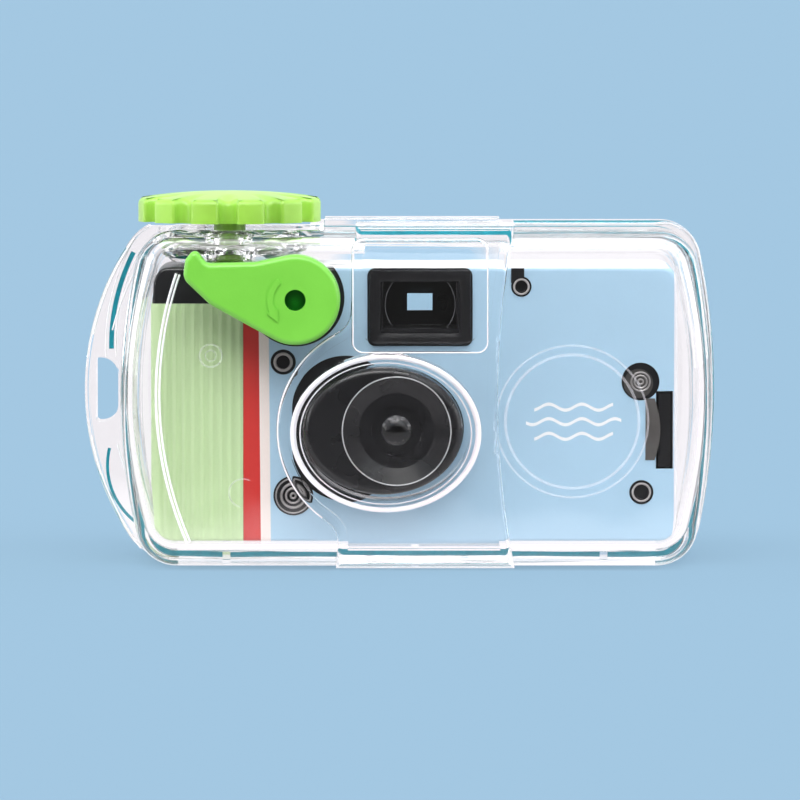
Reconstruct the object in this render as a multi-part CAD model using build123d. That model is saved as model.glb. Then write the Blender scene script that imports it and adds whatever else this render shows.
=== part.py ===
from build123d import *
import os
from math import acos, atan2, cos, hypot, pi, radians, sin, sqrt

# A single-use 35 mm film camera, sealed in a clear waterproof housing made of two shells.
# Millimetres. +X is to the right seen from the front, +Y points to the back and +Z is up.
# The origin is on the surface that the housing stands on, midway along its width, below the
# axis that the film is wound on. The lens looks along -Y.

FULL_TURN_DEG = 360.0

# Fits that many pieces share
OVERRUN = 1.0
RUNNING_GAP = 0.35
SEAT_GAP = 0.05
BORE_GAP = 0.06

# Film and its gate
FILM_W = 35.0
FILM_T = 0.3
FILM_Y = 9.5
GATE_W = 36.0
GATE_H = 24.0
PERFORATION_PITCH = 4.75
PERFORATION_W = 2.0
PERFORATION_H = 2.8
PERFORATION_EDGE = 2.0
PERFORATIONS = 11
SUPPLY_ROLL_R = 10.0
SUPPLY_SPOOL_R = 4.0

# Film cartridge
CARTRIDGE_R = 12.4
CARTRIDGE_H = 43.6
CARTRIDGE_SIDE_GAP = 1.8
CARTRIDGE_FRONT_GAP = 0.2
CARTRIDGE_BACK_GAP = 2.2
CARTRIDGE_FLOOR_GAP = 0.3
CARTRIDGE_GATE_GAP = 4.2
GATE_SUPPLY_GAP = 7.6
SUPPLY_SIDE_GAP = 10.8
TOP_DECK_H = 9.9

# Camera covers
CAMERA_CORNER_R = 3.5
COVER_EDGE_R = 0.8
COVER_WALL = 1.4
COVER_SPLIT_Y = 6.5
COVER_FOOT_GAP = 1.2
LABEL_T = 0.3
LABEL_GAP = 0.2
GRIP_LABEL_W = 18.7
GRIP_LABEL_H = 49.2
GRIP_RIB_PITCH = 1.9
GRIP_RIB_W = 0.8
GRIP_RIB_H = 0.2

# Housing
LEFT_ROOM = 14.7
RIGHT_ROOM = 8.3
TOP_ROOM = 9.0
LEFT_BULGE = 12.6
RIGHT_BULGE = 4.6
OUTLINE_LEFT_R = 10.0
OUTLINE_RIGHT_R = 8.5
WALL = 2.2
SPLIT_Y = 7.0
SPLIT_GAP = 0.06
FLANGE_T = 4.0
FLANGE_STEP = 1.3
SHELL_FRONT_GAP = 2.3
SHELL_BACK_GAP = 1.6
SHELL_EDGE_R = 4.5
CAVITY_EDGE_R = 2.5
CAVITY_CORNER_R = 6.0
INNER_BULGE = 5.0
FLANGE_EDGE_R = 1.0

# Rim seal
RIM_OUT = 1.2
GASKET_W = 1.6
GASKET_T = 1.4
RIM_LIP = 0.8

# Cord eye in the left wing of the rim
EYE_W = 4.6
EYE_H = 13.4
EYE_BAR = 2.4
EYE_LEFT_R = 0.8
EYE_RIGHT_R = 3.6
EYE_WEB = 0.9

# Middle block of the front shell, with the lens port and the viewfinder boss
BLOCK_RISE = 3.2
BLOCK_LEFT_TOP_REACH = 8.4
BLOCK_LEFT_LOW_REACH = 12.4
BLOCK_RIGHT_REACH = 24.2
BLOCK_WAIST = 3.4
BLOCK_BULGE_R = 22.4
BLOCK_CORNER_R = 5.0
CREST_RISE = 0.6
CREST_LEFT_REACH = 14.9
CREST_RIGHT_REACH = 21.3
BLOCK_EDGE_R = 1.2
PORT_SHIFT_X = -2.2
PORT_RX = 19.5
PORT_RZ = 16.1
PORT_WALL = 2.4
PORT_REACH = 8.5
PORT_WINDOW_T = 2.0
PORT_WINDOW_STEP = 1.0
PORT_EDGE_R = 0.9
BOSS_W = 28.0
BOSS_H = 23.6
FINDER_SHIFT_X = 4.8
BOSS_TOP_GAP = 3.2
BOSS_RISE = 1.6
BOSS_CORNER_R = 2.4
BOSS_EDGE_R = 0.6

# Pads inside the shells that the camera stands on
PAD_W = 1.6
PAD_L = 8.0
PAD_FRONT_Y = -7.0
PAD_BACK_Y = 13.0
PAD_SHARES = (-0.36, 0.0, 0.36)

# Grip ridge on the left of the front shell
RIDGE_W = 1.5
RIDGE_H = 0.9
RIDGE_TOP_SHARE = (-0.69, 0.86)
RIDGE_MID_SHARE = (-0.755, 0.47)
RIDGE_LOW_SHARE = (-0.66, 0.07)

# Winding well, a bowl let into the top of both shells
WELL_R = 17.3
WELL_FOOT_R = 12.0
WELL_WALL = 2.1
WELL_FLOOR_T = 3.3
WELL_CAMERA_GAP = 0.8
WELL_BUSH_R = 5.4
WELL_BUSH_H = 1.2

# Winding knob and its shaft
KNOB_R = 19.1
KNOB_SKIRT_H = 5.8
KNOB_DOME_H = 1.0
KNOB_DOME_R = 6.0
KNOB_RIM_STEP = 1.4
KNOB_LIFT = 0.8
KNOB_WALL = 2.2
KNOB_LOBES = 12
KNOB_GROOVE_R = 2.05
KNOB_GROOVE_BITE = 1.1
KNOB_HUB_R = 6.0
WINDING_SHAFT_R = 3.3
SHAFT_SOCKET_DEPTH = 1.6
CLIP_R = 4.8
CLIP_T = 0.8
CLIP_ROOM = 1.2
CLIP_GROOVE_DEPTH = 0.7
DOG_W = 1.4
DOG_LENGTH = 5.6
DOG_REACH = 2.4
SEAL_WIRE_R = 0.42

# Shutter lever, its shaft, inner arm and spring
LEVER_SHIFT_X = 13.9
LEVER_TOP_GAP = 6.2
LEVER_R = 9.2
LEVER_T = 5.0
LEVER_REACH = 22.9
LEVER_EDGE_R = 1.1
LEVER_CLEARANCE = 0.4
LEVER_HOLE_R = 2.1
LEVER_HOLE_DEPTH = 2.4
LEVER_SHAFT_R = 2.6
LEVER_BUSH_R = 4.2
LEVER_BUSH_H = 0.9
TAIL_SHARES = (
    (-0.36, 0.335), (-0.79, 0.325), (-0.895, 0.46), (-0.98, 0.36), (-1.0, 0.19), (-0.76, -0.04),
)
TAIL_ROUND_SHARES = (0.15, 0.08, 0.05, 0.06, 0.12, 0.3)
MARK_R = 5.1
MARK_W = 1.2
MARK_H = 0.25
MARK_START_DEG = 130.0
MARK_END_DEG = 205.0
MARK_HEAD = 2.6
ARM_T = 1.5
ARM_HUB_R = 3.6
ARM_W = 3.0
ARM_RISE = 7.4
ARM_REACH = 9.7
ARM_TIP_H = 2.75
SPRING_WIRE = 0.6
SPRING_GAP_DEG = 50.0

# Lens surround, lenses and shutter
PANEL_SHIFT_X = -2.8
PANEL_RX = 16.4
PANEL_RZ = 13.1
PANEL_REACH = 8.5
PANEL_EDGE_R = 1.6
FUNNEL_MOUTH_R = 11.1
FUNNEL_FOOT_R = 7.7
FUNNEL_DEPTH = 1.3
LENS_STEP_DEPTH = 0.7
LENS_BORE_R = 5.2
LENS_RING_T = 1.2
LENS_RING_INNER_R = 3.1
LENS_T = 1.5
LENS_DOME_R = 4.6
LENS_NECK_RISE = 0.4
LENS_HOLE_LEFT_R = 11.0
LENS_HOLE_LEFT_REACH = 10.5
LENS_HOLE_LEFT_RISE = 4.0
REAR_LENS_R = 3.9
REAR_LENS_T = 1.4
SHUTTER_ROOM_W = 30.0
SHUTTER_ROOM_H = 24.0
SHUTTER_PLATE_T = 1.0
APERTURE_R = 2.0
BLADE_R = 2.9
BLADE_T = 0.4
BLADE_ARM_W = 3.0
BLADE_PIVOT_X = 8.0
BLADE_PIVOT_Z = 7.0
BLADE_PIN_R = 0.9
BLADE_HUB_R = 2.0
BLADE_GAP = 0.5

# Viewfinder
FINDER_W = 21.2
FINDER_H = 15.6
FINDER_TOP_GAP = 0.3
FINDER_RISE = 0.9
FINDER_CORNER_R = 1.6
TUNNEL_W = 17.3
TUNNEL_H = 11.6
TUNNEL_WALL = 1.0
TUNNEL_TOP_GAP = 1.6
FINDER_LENS_T = 1.2
FINDER_LENS_STEP = 0.8
MASK_W = 5.2
MASK_H = 3.5
MASK_T = 0.8
EYEPIECE_W = 9.0
EYEPIECE_H = 7.0
EYEPIECE_T = 1.4
REAR_BOSS_W = 22.0
REAR_BOSS_H = 15.0
REAR_BOSS_RISE = 1.0

# Posts of the front cover that show in cut-outs of the label: shares of the camera's width and
# height from its middle, radii of the posts and radii of the cut-outs
POST_PLACE_SHARES = (
    (-0.251, 0.157), (-0.232, -0.329), (0.202, 0.431), (0.429, 0.086), (0.431, -0.317),
)
POST_RADII = (1.9, 2.6, 1.6, 1.9, 1.9)
POST_CUT_RADII = (2.6, 4.1, 2.1, 3.9, 2.5)
POST_H = 0.6
POST_WALL = 0.6
LEVER_WINDOW_R = 10.0
LATCH_W = 2.6
LATCH_H = 15.4
LATCH_SIDE_GAP = 1.4
LATCH_MIDDLE_SHARE = 0.41
LATCH_GAP = 0.3
LATCH_WINDOW_W = 3.6
LATCH_HOOK = 1.2

# Film transport
CARTRIDGE_WALL = 0.5
CAP_T = 1.0
LIP_T = 1.9
LIP_SLOT = 0.7
SPOOL_R = 5.5
SPOOL_STUB_R = 4.5
SPOOL_STUB_H = 2.4
SPOOL_GAP = 0.5
WHEEL_R = 12.2
WHEEL_T = 2.8
WHEEL_TEETH = 30
WHEEL_TOOTH_R = 0.45
WHEEL_HUB_R = 4.6
WHEEL_HUB_GAP = 0.5
SPROCKET_SHIFT_X = 19.2
SPROCKET_R = 5.0
SPROCKET_TOOTH = 0.8
SPROCKET_T = 1.2
SPROCKET_TEETH = 8
SPROCKET_SHAFT_R = 1.5
SPROCKET_STUB_H = 2.4
COUNTER_SHIFT_X = 3.6
COUNTER_SHIFT_Y = -6.75
COUNTER_R = 5.4
COUNTER_T = 1.0
COUNTER_TOP_GAP = 0.9
COUNTER_PIN_R = 1.1
COUNTER_POST_R = 1.4
COUNTER_WINDOW_R = 2.2
PAWL_SIDE_GAP = 4.42
PAWL_DEG = 30.0
PAWL_W = 1.6
PAWL_HUB_R = 2.1
PAWL_PIN_R = 1.0
PAWL_T = 2.2
PAWL_TIP_DEG = 52.0
SLIDE_T = 3.0
SLIDE_H = 1.5
SLIDE_TAB_W = 2.6
SLIDE_TRAVEL = 1.9
SLIDE_LEG_W = 2.0
SLIDE_LEG_H = 3.8
RELEASE_LEAF_T = 0.25
RELEASE_LEAF_L = 7.0

# Places that follow from these sizes
RIM = RIM_OUT + GASKET_W + RIM_LIP
FILM_TRAIN_W = 2 * CARTRIDGE_R + CARTRIDGE_GATE_GAP + GATE_W + GATE_SUPPLY_GAP + 2 * SUPPLY_ROLL_R
CAMERA_W = 2 * COVER_WALL + CARTRIDGE_SIDE_GAP + FILM_TRAIN_W + SUPPLY_SIDE_GAP
CAMERA_H = 2 * COVER_WALL + CARTRIDGE_FLOOR_GAP + CARTRIDGE_H + TOP_DECK_H
HOUSING_W = CAMERA_W + LEFT_ROOM + RIGHT_ROOM
CAMERA_LEFT = LEFT_ROOM - HOUSING_W / 2
CAMERA_RIGHT = CAMERA_LEFT + CAMERA_W
CAMERA_X = (CAMERA_LEFT + CAMERA_RIGHT) / 2
CAMERA_LOW = RIM + COVER_FOOT_GAP
CAMERA_TOP = CAMERA_LOW + CAMERA_H
HOUSING_H = CAMERA_TOP + TOP_ROOM
WINDING_X = CAMERA_LEFT + COVER_WALL + CARTRIDGE_SIDE_GAP + CARTRIDGE_R
LENS_X = WINDING_X + CARTRIDGE_R + CARTRIDGE_GATE_GAP + GATE_W / 2
SUPPLY_X = LENS_X + GATE_W / 2 + GATE_SUPPLY_GAP + SUPPLY_ROLL_R
PORT_X = LENS_X + PORT_SHIFT_X
FINDER_X = LENS_X + FINDER_SHIFT_X
LEVER_X = WINDING_X + LEVER_SHIFT_X
LEVER_Z = CAMERA_TOP - LEVER_TOP_GAP
CAMERA_FRONT = -(CARTRIDGE_R + CARTRIDGE_FRONT_GAP + COVER_WALL)
CAMERA_BACK = CARTRIDGE_R + CARTRIDGE_BACK_GAP + COVER_WALL
CAVITY_FRONT = CAMERA_FRONT - LABEL_T - SHELL_FRONT_GAP
CAVITY_BACK = CAMERA_BACK + LABEL_T + SHELL_BACK_GAP
SHELL_FRONT = CAVITY_FRONT - WALL
SHELL_BACK = CAVITY_BACK + WALL
BLOCK_FRONT = SHELL_FRONT - BLOCK_RISE
PORT_FRONT = BLOCK_FRONT - PORT_REACH
BOSS_FRONT = BLOCK_FRONT - BOSS_RISE
CAVITY_TOP = HOUSING_H - RIM
WELL_LOW = CAMERA_TOP + WELL_CAMERA_GAP
WELL_FLOOR = WELL_LOW + WELL_FLOOR_T
LENS_Z = CAMERA_LOW + COVER_WALL + CARTRIDGE_FLOOR_GAP + CARTRIDGE_H / 2
EYE_LEFT = EYE_BAR - HOUSING_W / 2
CAVITY_LEFT = EYE_LEFT + EYE_W + EYE_WEB + GASKET_W + RIM_LIP
CAVITY_RIGHT = HOUSING_W / 2 - RIM
CREST_TOP = HOUSING_H + CREST_RISE
BOSS_TOP = CREST_TOP - BOSS_TOP_GAP
KNOB_LOW = HOUSING_H - FLANGE_STEP + KNOB_LIFT
KNOB_RIM_TOP = KNOB_LOW + KNOB_SKIRT_H
KNOB_TOP = KNOB_RIM_TOP + KNOB_DOME_H
LEVER_BACK = SHELL_FRONT - RIDGE_H - LEVER_CLEARANCE
LEVER_FRONT = LEVER_BACK - LEVER_T
PANEL_FRONT = CAMERA_FRONT - PANEL_REACH
LENS_FRONT = PANEL_FRONT + FUNNEL_DEPTH + LENS_STEP_DEPTH
INNER_LEFT = CAMERA_LEFT + COVER_WALL
INNER_RIGHT = CAMERA_RIGHT - COVER_WALL
INNER_FRONT = CAMERA_FRONT + COVER_WALL
INNER_BACK = CAMERA_BACK - COVER_WALL
INNER_LOW = CAMERA_LOW + COVER_WALL
INNER_TOP = CAMERA_TOP - COVER_WALL
CARTRIDGE_LOW = INNER_LOW + CARTRIDGE_FLOOR_GAP
CARTRIDGE_TOP = CARTRIDGE_LOW + CARTRIDGE_H
FRAME_TOP = CARTRIDGE_TOP + CAP_T
FRAME_FRONT = INNER_FRONT + LABEL_GAP
SHUTTER_BACK = FRAME_FRONT + SHUTTER_PLATE_T + BLADE_T + 2 * BLADE_GAP + LENS_RING_T
SHUTTER_PLATE_FRONT = SHUTTER_BACK - SHUTTER_PLATE_T
BLADE_BACK = SHUTTER_PLATE_FRONT - BLADE_GAP
FINDER_TOP = CAMERA_TOP - FINDER_TOP_GAP
FINDER_LOW = FINDER_TOP - FINDER_H
TUNNEL_TOP = FINDER_TOP - TUNNEL_TOP_GAP
TUNNEL_LOW = TUNNEL_TOP - TUNNEL_H
FINDER_Z = (TUNNEL_TOP + TUNNEL_LOW) / 2
GRIP_LABEL_RIGHT = CAMERA_LEFT + GRIP_LABEL_W
GRIP_LABEL_TOP = CAMERA_LOW + GRIP_LABEL_H
LATCH_X = CAMERA_RIGHT - LATCH_SIDE_GAP - LATCH_W / 2
LATCH_Z = CAMERA_LOW + LATCH_MIDDLE_SHARE * CAMERA_H
WHEEL_LOW = CARTRIDGE_TOP + SPOOL_STUB_H + SPOOL_GAP
WHEEL_TOP = WHEEL_LOW + WHEEL_T
WHEEL_HUB_TOP = CAMERA_TOP - WHEEL_HUB_GAP
SUPPLY_Y = FILM_Y - RUNNING_GAP - SUPPLY_ROLL_R
SPROCKET_X = WINDING_X + SPROCKET_SHIFT_X
SPROCKET_Y = FILM_Y - RUNNING_GAP - SPROCKET_R - SPROCKET_TOOTH
SPROCKET_Z = LENS_Z + FILM_W / 2 - PERFORATION_EDGE
SPROCKET_STUB_LOW = SPROCKET_Z - SPROCKET_T / 2 - RUNNING_GAP - SPROCKET_STUB_H
COUNTER_X = SPROCKET_X + COUNTER_SHIFT_X
COUNTER_Y = SPROCKET_Y + COUNTER_SHIFT_Y
PAWL_X = WINDING_X + (WHEEL_R + PAWL_SIDE_GAP) * cos(radians(PAWL_DEG))
PAWL_Y = (WHEEL_R + PAWL_SIDE_GAP) * sin(radians(PAWL_DEG))
COUNTER_TOP = INNER_TOP - COUNTER_TOP_GAP
COUNTER_LOW = COUNTER_TOP - COUNTER_T
SLIDE_BACK = INNER_FRONT + RUNNING_GAP + SLIDE_T
TAB_TOP = LEVER_Z + ARM_RISE - ARM_TIP_H - RUNNING_GAP
TAB_LOW = TAB_TOP - SLIDE_H
TAB_LEFT = LEVER_X - ARM_REACH + LEVER_CLEARANCE
ARM_BACK = CAMERA_FRONT - LABEL_T - LEVER_CLEARANCE
ARM_FRONT = ARM_BACK - ARM_T


def front_prism(sketch, y_back, y_front):
    """A sketch drawn as seen from the front, filled from y_back forward to y_front."""
    return extrude(Plane.XZ.offset(-y_back) * sketch, amount=y_back - y_front)


def flat_prism(sketch, z_low, z_high):
    """A sketch drawn as seen from above, filled from z_low up to z_high."""
    return extrude(Plane.XY.offset(z_low) * sketch, amount=z_high - z_low)


def front_rod(x, z, radius, y_back, y_front):
    return front_prism(Pos(x, z) * Circle(radius), y_back, y_front)


def upright_rod(x, y, radius, z_low, z_high):
    return flat_prism(Pos(x, y) * Circle(radius), z_low, z_high)


def box_between(x0, x1, y0, y1, z0, z1):
    return Pos((x0 + x1) / 2, (y0 + y1) / 2, (z0 + z1) / 2) * Box(x1 - x0, y1 - y0, z1 - z0)


def rounded_window(x0, x1, z0, z1, radius):
    return Pos((x0 + x1) / 2, (z0 + z1) / 2) * RectangleRounded(x1 - x0, z1 - z0, radius)


def outline(x_left, x_right, z_low, z_high, bulge_left, bulge_right, r_left, r_right):
    """A block seen from the front: straight top and bottom, both ends bowed outwards."""
    middle = (z_low + z_high) / 2
    low_left = (x_left + bulge_left, z_low)
    low_right = (x_right - bulge_right, z_low)
    top_left = (x_left + bulge_left, z_high)
    top_right = (x_right - bulge_right, z_high)
    edges = Line(low_left, low_right)
    edges += ThreePointArc(low_right, (x_right, middle), top_right)
    edges += Line(top_right, top_left)
    edges += ThreePointArc(top_left, (x_left, middle), low_left)
    face = make_face(edges)
    corners = face.vertices().sort_by(Axis.X)
    face = fillet(corners[:2], r_left)
    corners = face.vertices().sort_by(Axis.X)
    return fillet(corners[-2:], r_right)


def silhouette():
    return outline(
        -HOUSING_W / 2, HOUSING_W / 2, 0, HOUSING_H,
        LEFT_BULGE, RIGHT_BULGE, OUTLINE_LEFT_R, OUTLINE_RIGHT_R,
    )


def cavity_outline():
    return outline(
        CAVITY_LEFT, CAVITY_RIGHT, RIM, CAVITY_TOP,
        INNER_BULGE, RIGHT_BULGE, CAVITY_CORNER_R, CAVITY_CORNER_R,
    )


def chord(radius, distance):
    """Half the width of a circle, measured at a distance from its centre."""
    return sqrt(radius**2 - distance**2)


def seal_outline():
    """The inner edge of the rim: the cavity's outline, let down below the winding well."""
    foot = chord(WELL_FOOT_R, SPLIT_Y)
    brim = chord(WELL_R, SPLIT_Y)
    dip = Polygon(
        (WINDING_X - foot, WELL_LOW), (WINDING_X + foot, WELL_LOW),
        (WINDING_X + brim, CAVITY_TOP), (WINDING_X + brim, CAVITY_TOP + OVERRUN),
        (WINDING_X - brim, CAVITY_TOP + OVERRUN), (WINDING_X - brim, CAVITY_TOP),
        align=None,
    )
    return cavity_outline() - dip


def eye_outline():
    low = HOUSING_H / 2 - EYE_H / 2
    face = Pos(EYE_LEFT + EYE_W / 2, low + EYE_H / 2) * Rectangle(EYE_W, EYE_H)
    face = fillet(face.vertices().sort_by(Axis.X)[-2:], EYE_RIGHT_R)
    return fillet(face.vertices().sort_by(Axis.X)[:2], EYE_LEFT_R)


def block_outline():
    """The raised middle of the front: a band that swells round the lens port."""
    right = LENS_X + BLOCK_RIGHT_REACH
    top_left = (LENS_X - BLOCK_LEFT_TOP_REACH, HOUSING_H)
    low_left = (LENS_X - BLOCK_LEFT_LOW_REACH, 0)
    edges = Line(low_left, (right, 0))
    edges += ThreePointArc((right, 0), (right - BLOCK_WAIST, HOUSING_H / 2), (right, HOUSING_H))
    edges += Line((right, HOUSING_H), top_left)
    edges += Line(top_left, low_left)
    band = make_face(edges) + Pos(PORT_X, LENS_Z) * Circle(BLOCK_BULGE_R)
    return fillet(band.vertices().sort_by(Axis.Y)[2:4], BLOCK_CORNER_R)


def ridge():
    """The raised line that marks the grip, bent from its top over its middle to its foot."""
    places = []
    for share_x, share_z in (RIDGE_TOP_SHARE, RIDGE_MID_SHARE, RIDGE_LOW_SHARE):
        places.append((share_x * HOUSING_W / 2, share_z * HOUSING_H))
    line = trace(ThreePointArc(*places), line_width=RIDGE_W)
    return front_prism(line, SHELL_FRONT + OVERRUN, SHELL_FRONT - RIDGE_H)


def well_bowl(grown, z_low):
    """The winding well as a solid bowl: grown beyond its hollow, and down to z_low."""
    brim_z = CAVITY_TOP
    top = HOUSING_H + OVERRUN
    profile = Polyline(
        (0, z_low), (WELL_FOOT_R + grown, z_low), (WELL_R + grown, brim_z),
        (WELL_R + grown, top), (0, top), (0, z_low),
    )
    return Pos(WINDING_X, 0, 0) * revolve(make_face(Plane.XZ * profile), Axis.Z)


def port_oval(inset):
    return Pos(PORT_X, LENS_Z) * Ellipse(PORT_RX - inset, PORT_RZ - inset)


def boss_window(inset):
    return rounded_window(
        FINDER_X - BOSS_W / 2 + inset, FINDER_X + BOSS_W / 2 - inset,
        BOSS_TOP - BOSS_H + inset, BOSS_TOP - inset, BOSS_CORNER_R,
    )


def rear_boss_window(inset):
    return rounded_window(
        FINDER_X - REAR_BOSS_W / 2 + inset, FINDER_X + REAR_BOSS_W / 2 - inset,
        FINDER_Z - REAR_BOSS_H / 2 + inset, FINDER_Z + REAR_BOSS_H / 2 - inset, BOSS_CORNER_R,
    )


def front_edges(body, y):
    """The edges of a body that lie in the plane at y."""
    return body.edges().filter_by_position(Axis.Y, y - SEAT_GAP, y + SEAT_GAP)


def housing_solid():
    """Both shells as one solid block, before it is hollowed and split."""
    body_outline = outline(
        CAVITY_LEFT - WALL, HOUSING_W / 2 - FLANGE_STEP, 0, HOUSING_H - FLANGE_STEP,
        INNER_BULGE, RIGHT_BULGE, OUTLINE_RIGHT_R, OUTLINE_RIGHT_R,
    )
    body = front_prism(body_outline, SHELL_BACK, SHELL_FRONT)
    body = fillet(front_edges(body, SHELL_FRONT) + front_edges(body, SHELL_BACK), SHELL_EDGE_R)
    flange = front_prism(silhouette(), SPLIT_Y + FLANGE_T, SPLIT_Y - FLANGE_T)
    flange = fillet(
        front_edges(flange, SPLIT_Y + FLANGE_T) + front_edges(flange, SPLIT_Y - FLANGE_T), FLANGE_EDGE_R
    )
    block = front_prism(block_outline(), SPLIT_Y, BLOCK_FRONT)
    block = fillet(front_edges(block, BLOCK_FRONT), BLOCK_EDGE_R)
    crest = box_between(
        LENS_X - CREST_LEFT_REACH, LENS_X + CREST_RIGHT_REACH,
        SPLIT_Y - FLANGE_T, SPLIT_Y + FLANGE_T, HOUSING_H - RIM_OUT, CREST_TOP,
    )
    crest = fillet(crest.edges().filter_by(Axis.X).group_by(Axis.Z)[-1], CREST_RISE)
    boss = front_prism(boss_window(0), SHELL_FRONT, BOSS_FRONT)
    boss = fillet(front_edges(boss, BOSS_FRONT), BOSS_EDGE_R)
    port = front_prism(port_oval(0), SHELL_FRONT, PORT_FRONT)
    port = fillet(front_edges(port, PORT_FRONT), PORT_EDGE_R)
    rear_boss = front_prism(rear_boss_window(0), SHELL_BACK + REAR_BOSS_RISE, SHELL_BACK - WALL)
    rear_boss = fillet(front_edges(rear_boss, SHELL_BACK + REAR_BOSS_RISE), BOSS_EDGE_R)
    lever_bush = front_rod(
        LEVER_X, LEVER_Z, LEVER_BUSH_R, SHELL_FRONT + OVERRUN, SHELL_FRONT - LEVER_BUSH_H
    )
    return body + flange + block + crest + boss + port + rear_boss + lever_bush + ridge()


def housing_hollow():
    """What is air inside the housing, apart from bores and the well."""
    hollow = front_prism(cavity_outline(), CAVITY_BACK, CAVITY_FRONT)
    hollow = fillet(
        front_edges(hollow, CAVITY_FRONT) + front_edges(hollow, CAVITY_BACK), CAVITY_EDGE_R
    )
    hollow -= well_bowl(0, WELL_LOW)
    hollow -= front_prism(cavity_outline() - seal_outline(), SPLIT_Y + FLANGE_T, SPLIT_Y - FLANGE_T)
    block_room = offset(block_outline(), -WALL) & rounded_window(
        CAVITY_LEFT, CAVITY_RIGHT, RIM, CAVITY_TOP, CAVITY_CORNER_R
    )
    hollow += front_prism(block_room, CAVITY_FRONT + OVERRUN, BLOCK_FRONT + WALL)
    hollow += front_prism(boss_window(WALL), CAVITY_FRONT + OVERRUN, BOSS_FRONT + WALL)
    hollow += front_prism(
        port_oval(PORT_WALL), CAVITY_FRONT + OVERRUN, PORT_FRONT + PORT_WINDOW_T + PORT_WINDOW_STEP
    )
    return hollow


def gasket_ring(slack, thickness):
    """The seal that lies in the rim, with slack taken off both of its sides."""
    inner = offset(seal_outline(), RIM_LIP + slack)
    outer = offset(seal_outline(), RIM_LIP + GASKET_W - slack)
    return front_prism(outer - inner, SPLIT_Y + thickness / 2, SPLIT_Y - thickness / 2)


def camera_pads():
    """Low pads on the floor of both shells that the camera stands on."""
    pads = []
    foot = CAMERA_LOW - LABEL_T - LABEL_GAP
    reach = PAD_L / 2
    for share in PAD_SHARES:
        x = CAMERA_X + share * CAMERA_W
        for y in (PAD_FRONT_Y, PAD_BACK_Y):
            pads.append(box_between(x - PAD_W / 2, x + PAD_W / 2, y - reach, y + reach, RIM / 2, foot))
    return pads


def housing():
    """The two shells, cut at the plane of the rim."""
    whole = housing_solid() - housing_hollow()
    whole -= front_prism(port_oval(PORT_WALL), PORT_FRONT + PORT_WINDOW_STEP, PORT_FRONT - OVERRUN)
    whole -= front_prism(eye_outline(), SHELL_BACK, SHELL_FRONT)
    whole -= well_bowl(-WELL_WALL, WELL_FLOOR)
    whole -= upright_rod(
        WINDING_X, 0, KNOB_R + KNOB_LIFT, HOUSING_H - FLANGE_STEP, HOUSING_H + OVERRUN
    )
    whole -= gasket_ring(0, GASKET_T)
    bush_top = WELL_FLOOR + WELL_BUSH_H
    whole += upright_rod(WINDING_X, 0, WELL_BUSH_R, WELL_FLOOR, bush_top)
    whole -= upright_rod(
        WINDING_X, 0, WINDING_SHAFT_R + BORE_GAP, WELL_LOW - OVERRUN, bush_top + OVERRUN
    )
    whole -= upright_rod(WINDING_X, 0, CLIP_R + RUNNING_GAP, WELL_LOW - OVERRUN, WELL_LOW + CLIP_ROOM)
    whole -= front_rod(
        LEVER_X, LEVER_Z, LEVER_SHAFT_R + BORE_GAP, CAVITY_FRONT + OVERRUN,
        SHELL_FRONT - LEVER_BUSH_H - OVERRUN,
    )
    whole += camera_pads()
    front_half = box_between(
        -HOUSING_W, HOUSING_W, SPLIT_Y - HOUSING_W, SPLIT_Y - SPLIT_GAP / 2, -HOUSING_H, 2 * HOUSING_H
    )
    rear_half = box_between(
        -HOUSING_W, HOUSING_W, SPLIT_Y + SPLIT_GAP / 2, SPLIT_Y + HOUSING_W, -HOUSING_H, 2 * HOUSING_H
    )
    return whole & front_half, whole & rear_half


def camera_block(grown):
    """The outside of the camera's covers, grown all round by what wraps them."""
    face = rounded_window(
        CAMERA_LEFT - grown, CAMERA_RIGHT + grown, CAMERA_LOW - grown, CAMERA_TOP + grown,
        CAMERA_CORNER_R + grown,
    )
    block = front_prism(face, CAMERA_BACK + grown, CAMERA_FRONT - grown)
    rims = front_edges(block, CAMERA_FRONT - grown) + front_edges(block, CAMERA_BACK + grown)
    return fillet(rims, COVER_EDGE_R + grown)


def finder_window(grown):
    return rounded_window(
        FINDER_X - FINDER_W / 2 - grown, FINDER_X + FINDER_W / 2 + grown,
        FINDER_LOW - grown, FINDER_TOP + grown, FINDER_CORNER_R,
    )


def tunnel_box(grown, y_back, y_front):
    return box_between(
        FINDER_X - TUNNEL_W / 2 - grown, FINDER_X + TUNNEL_W / 2 + grown, y_front, y_back,
        TUNNEL_LOW - grown, TUNNEL_TOP + grown,
    )


def eyepiece_box(grown, y_back, y_front):
    return box_between(
        FINDER_X - EYEPIECE_W / 2 - grown, FINDER_X + EYEPIECE_W / 2 + grown, y_front, y_back,
        FINDER_Z - EYEPIECE_H / 2 - grown, FINDER_Z + EYEPIECE_H / 2 + grown,
    )


def latch_box(grown, y_back, y_front):
    return box_between(
        LATCH_X - LATCH_W / 2 - grown, LATCH_X + LATCH_W / 2 + grown, y_front, y_back,
        LATCH_Z - LATCH_H / 2 - grown, LATCH_Z + LATCH_H / 2 + grown,
    )


def wheel_slot(y_back, y_front):
    """The slot in the back through which the thumbwheel shows."""
    return box_between(
        WINDING_X - chord(WHEEL_R, WHEEL_HUB_R), WINDING_X + chord(WHEEL_R, WHEEL_HUB_R),
        y_front, y_back, WHEEL_LOW, WHEEL_TOP,
    )


def tab_slot(y_back, y_front):
    """The slot that the release tab moves down in."""
    return box_between(
        TAB_LEFT - LEVER_CLEARANCE, TAB_LEFT + SLIDE_TAB_W + LEVER_CLEARANCE, y_front, y_back,
        TAB_LOW - SLIDE_TRAVEL - RUNNING_GAP, TAB_TOP + RUNNING_GAP,
    )


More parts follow.
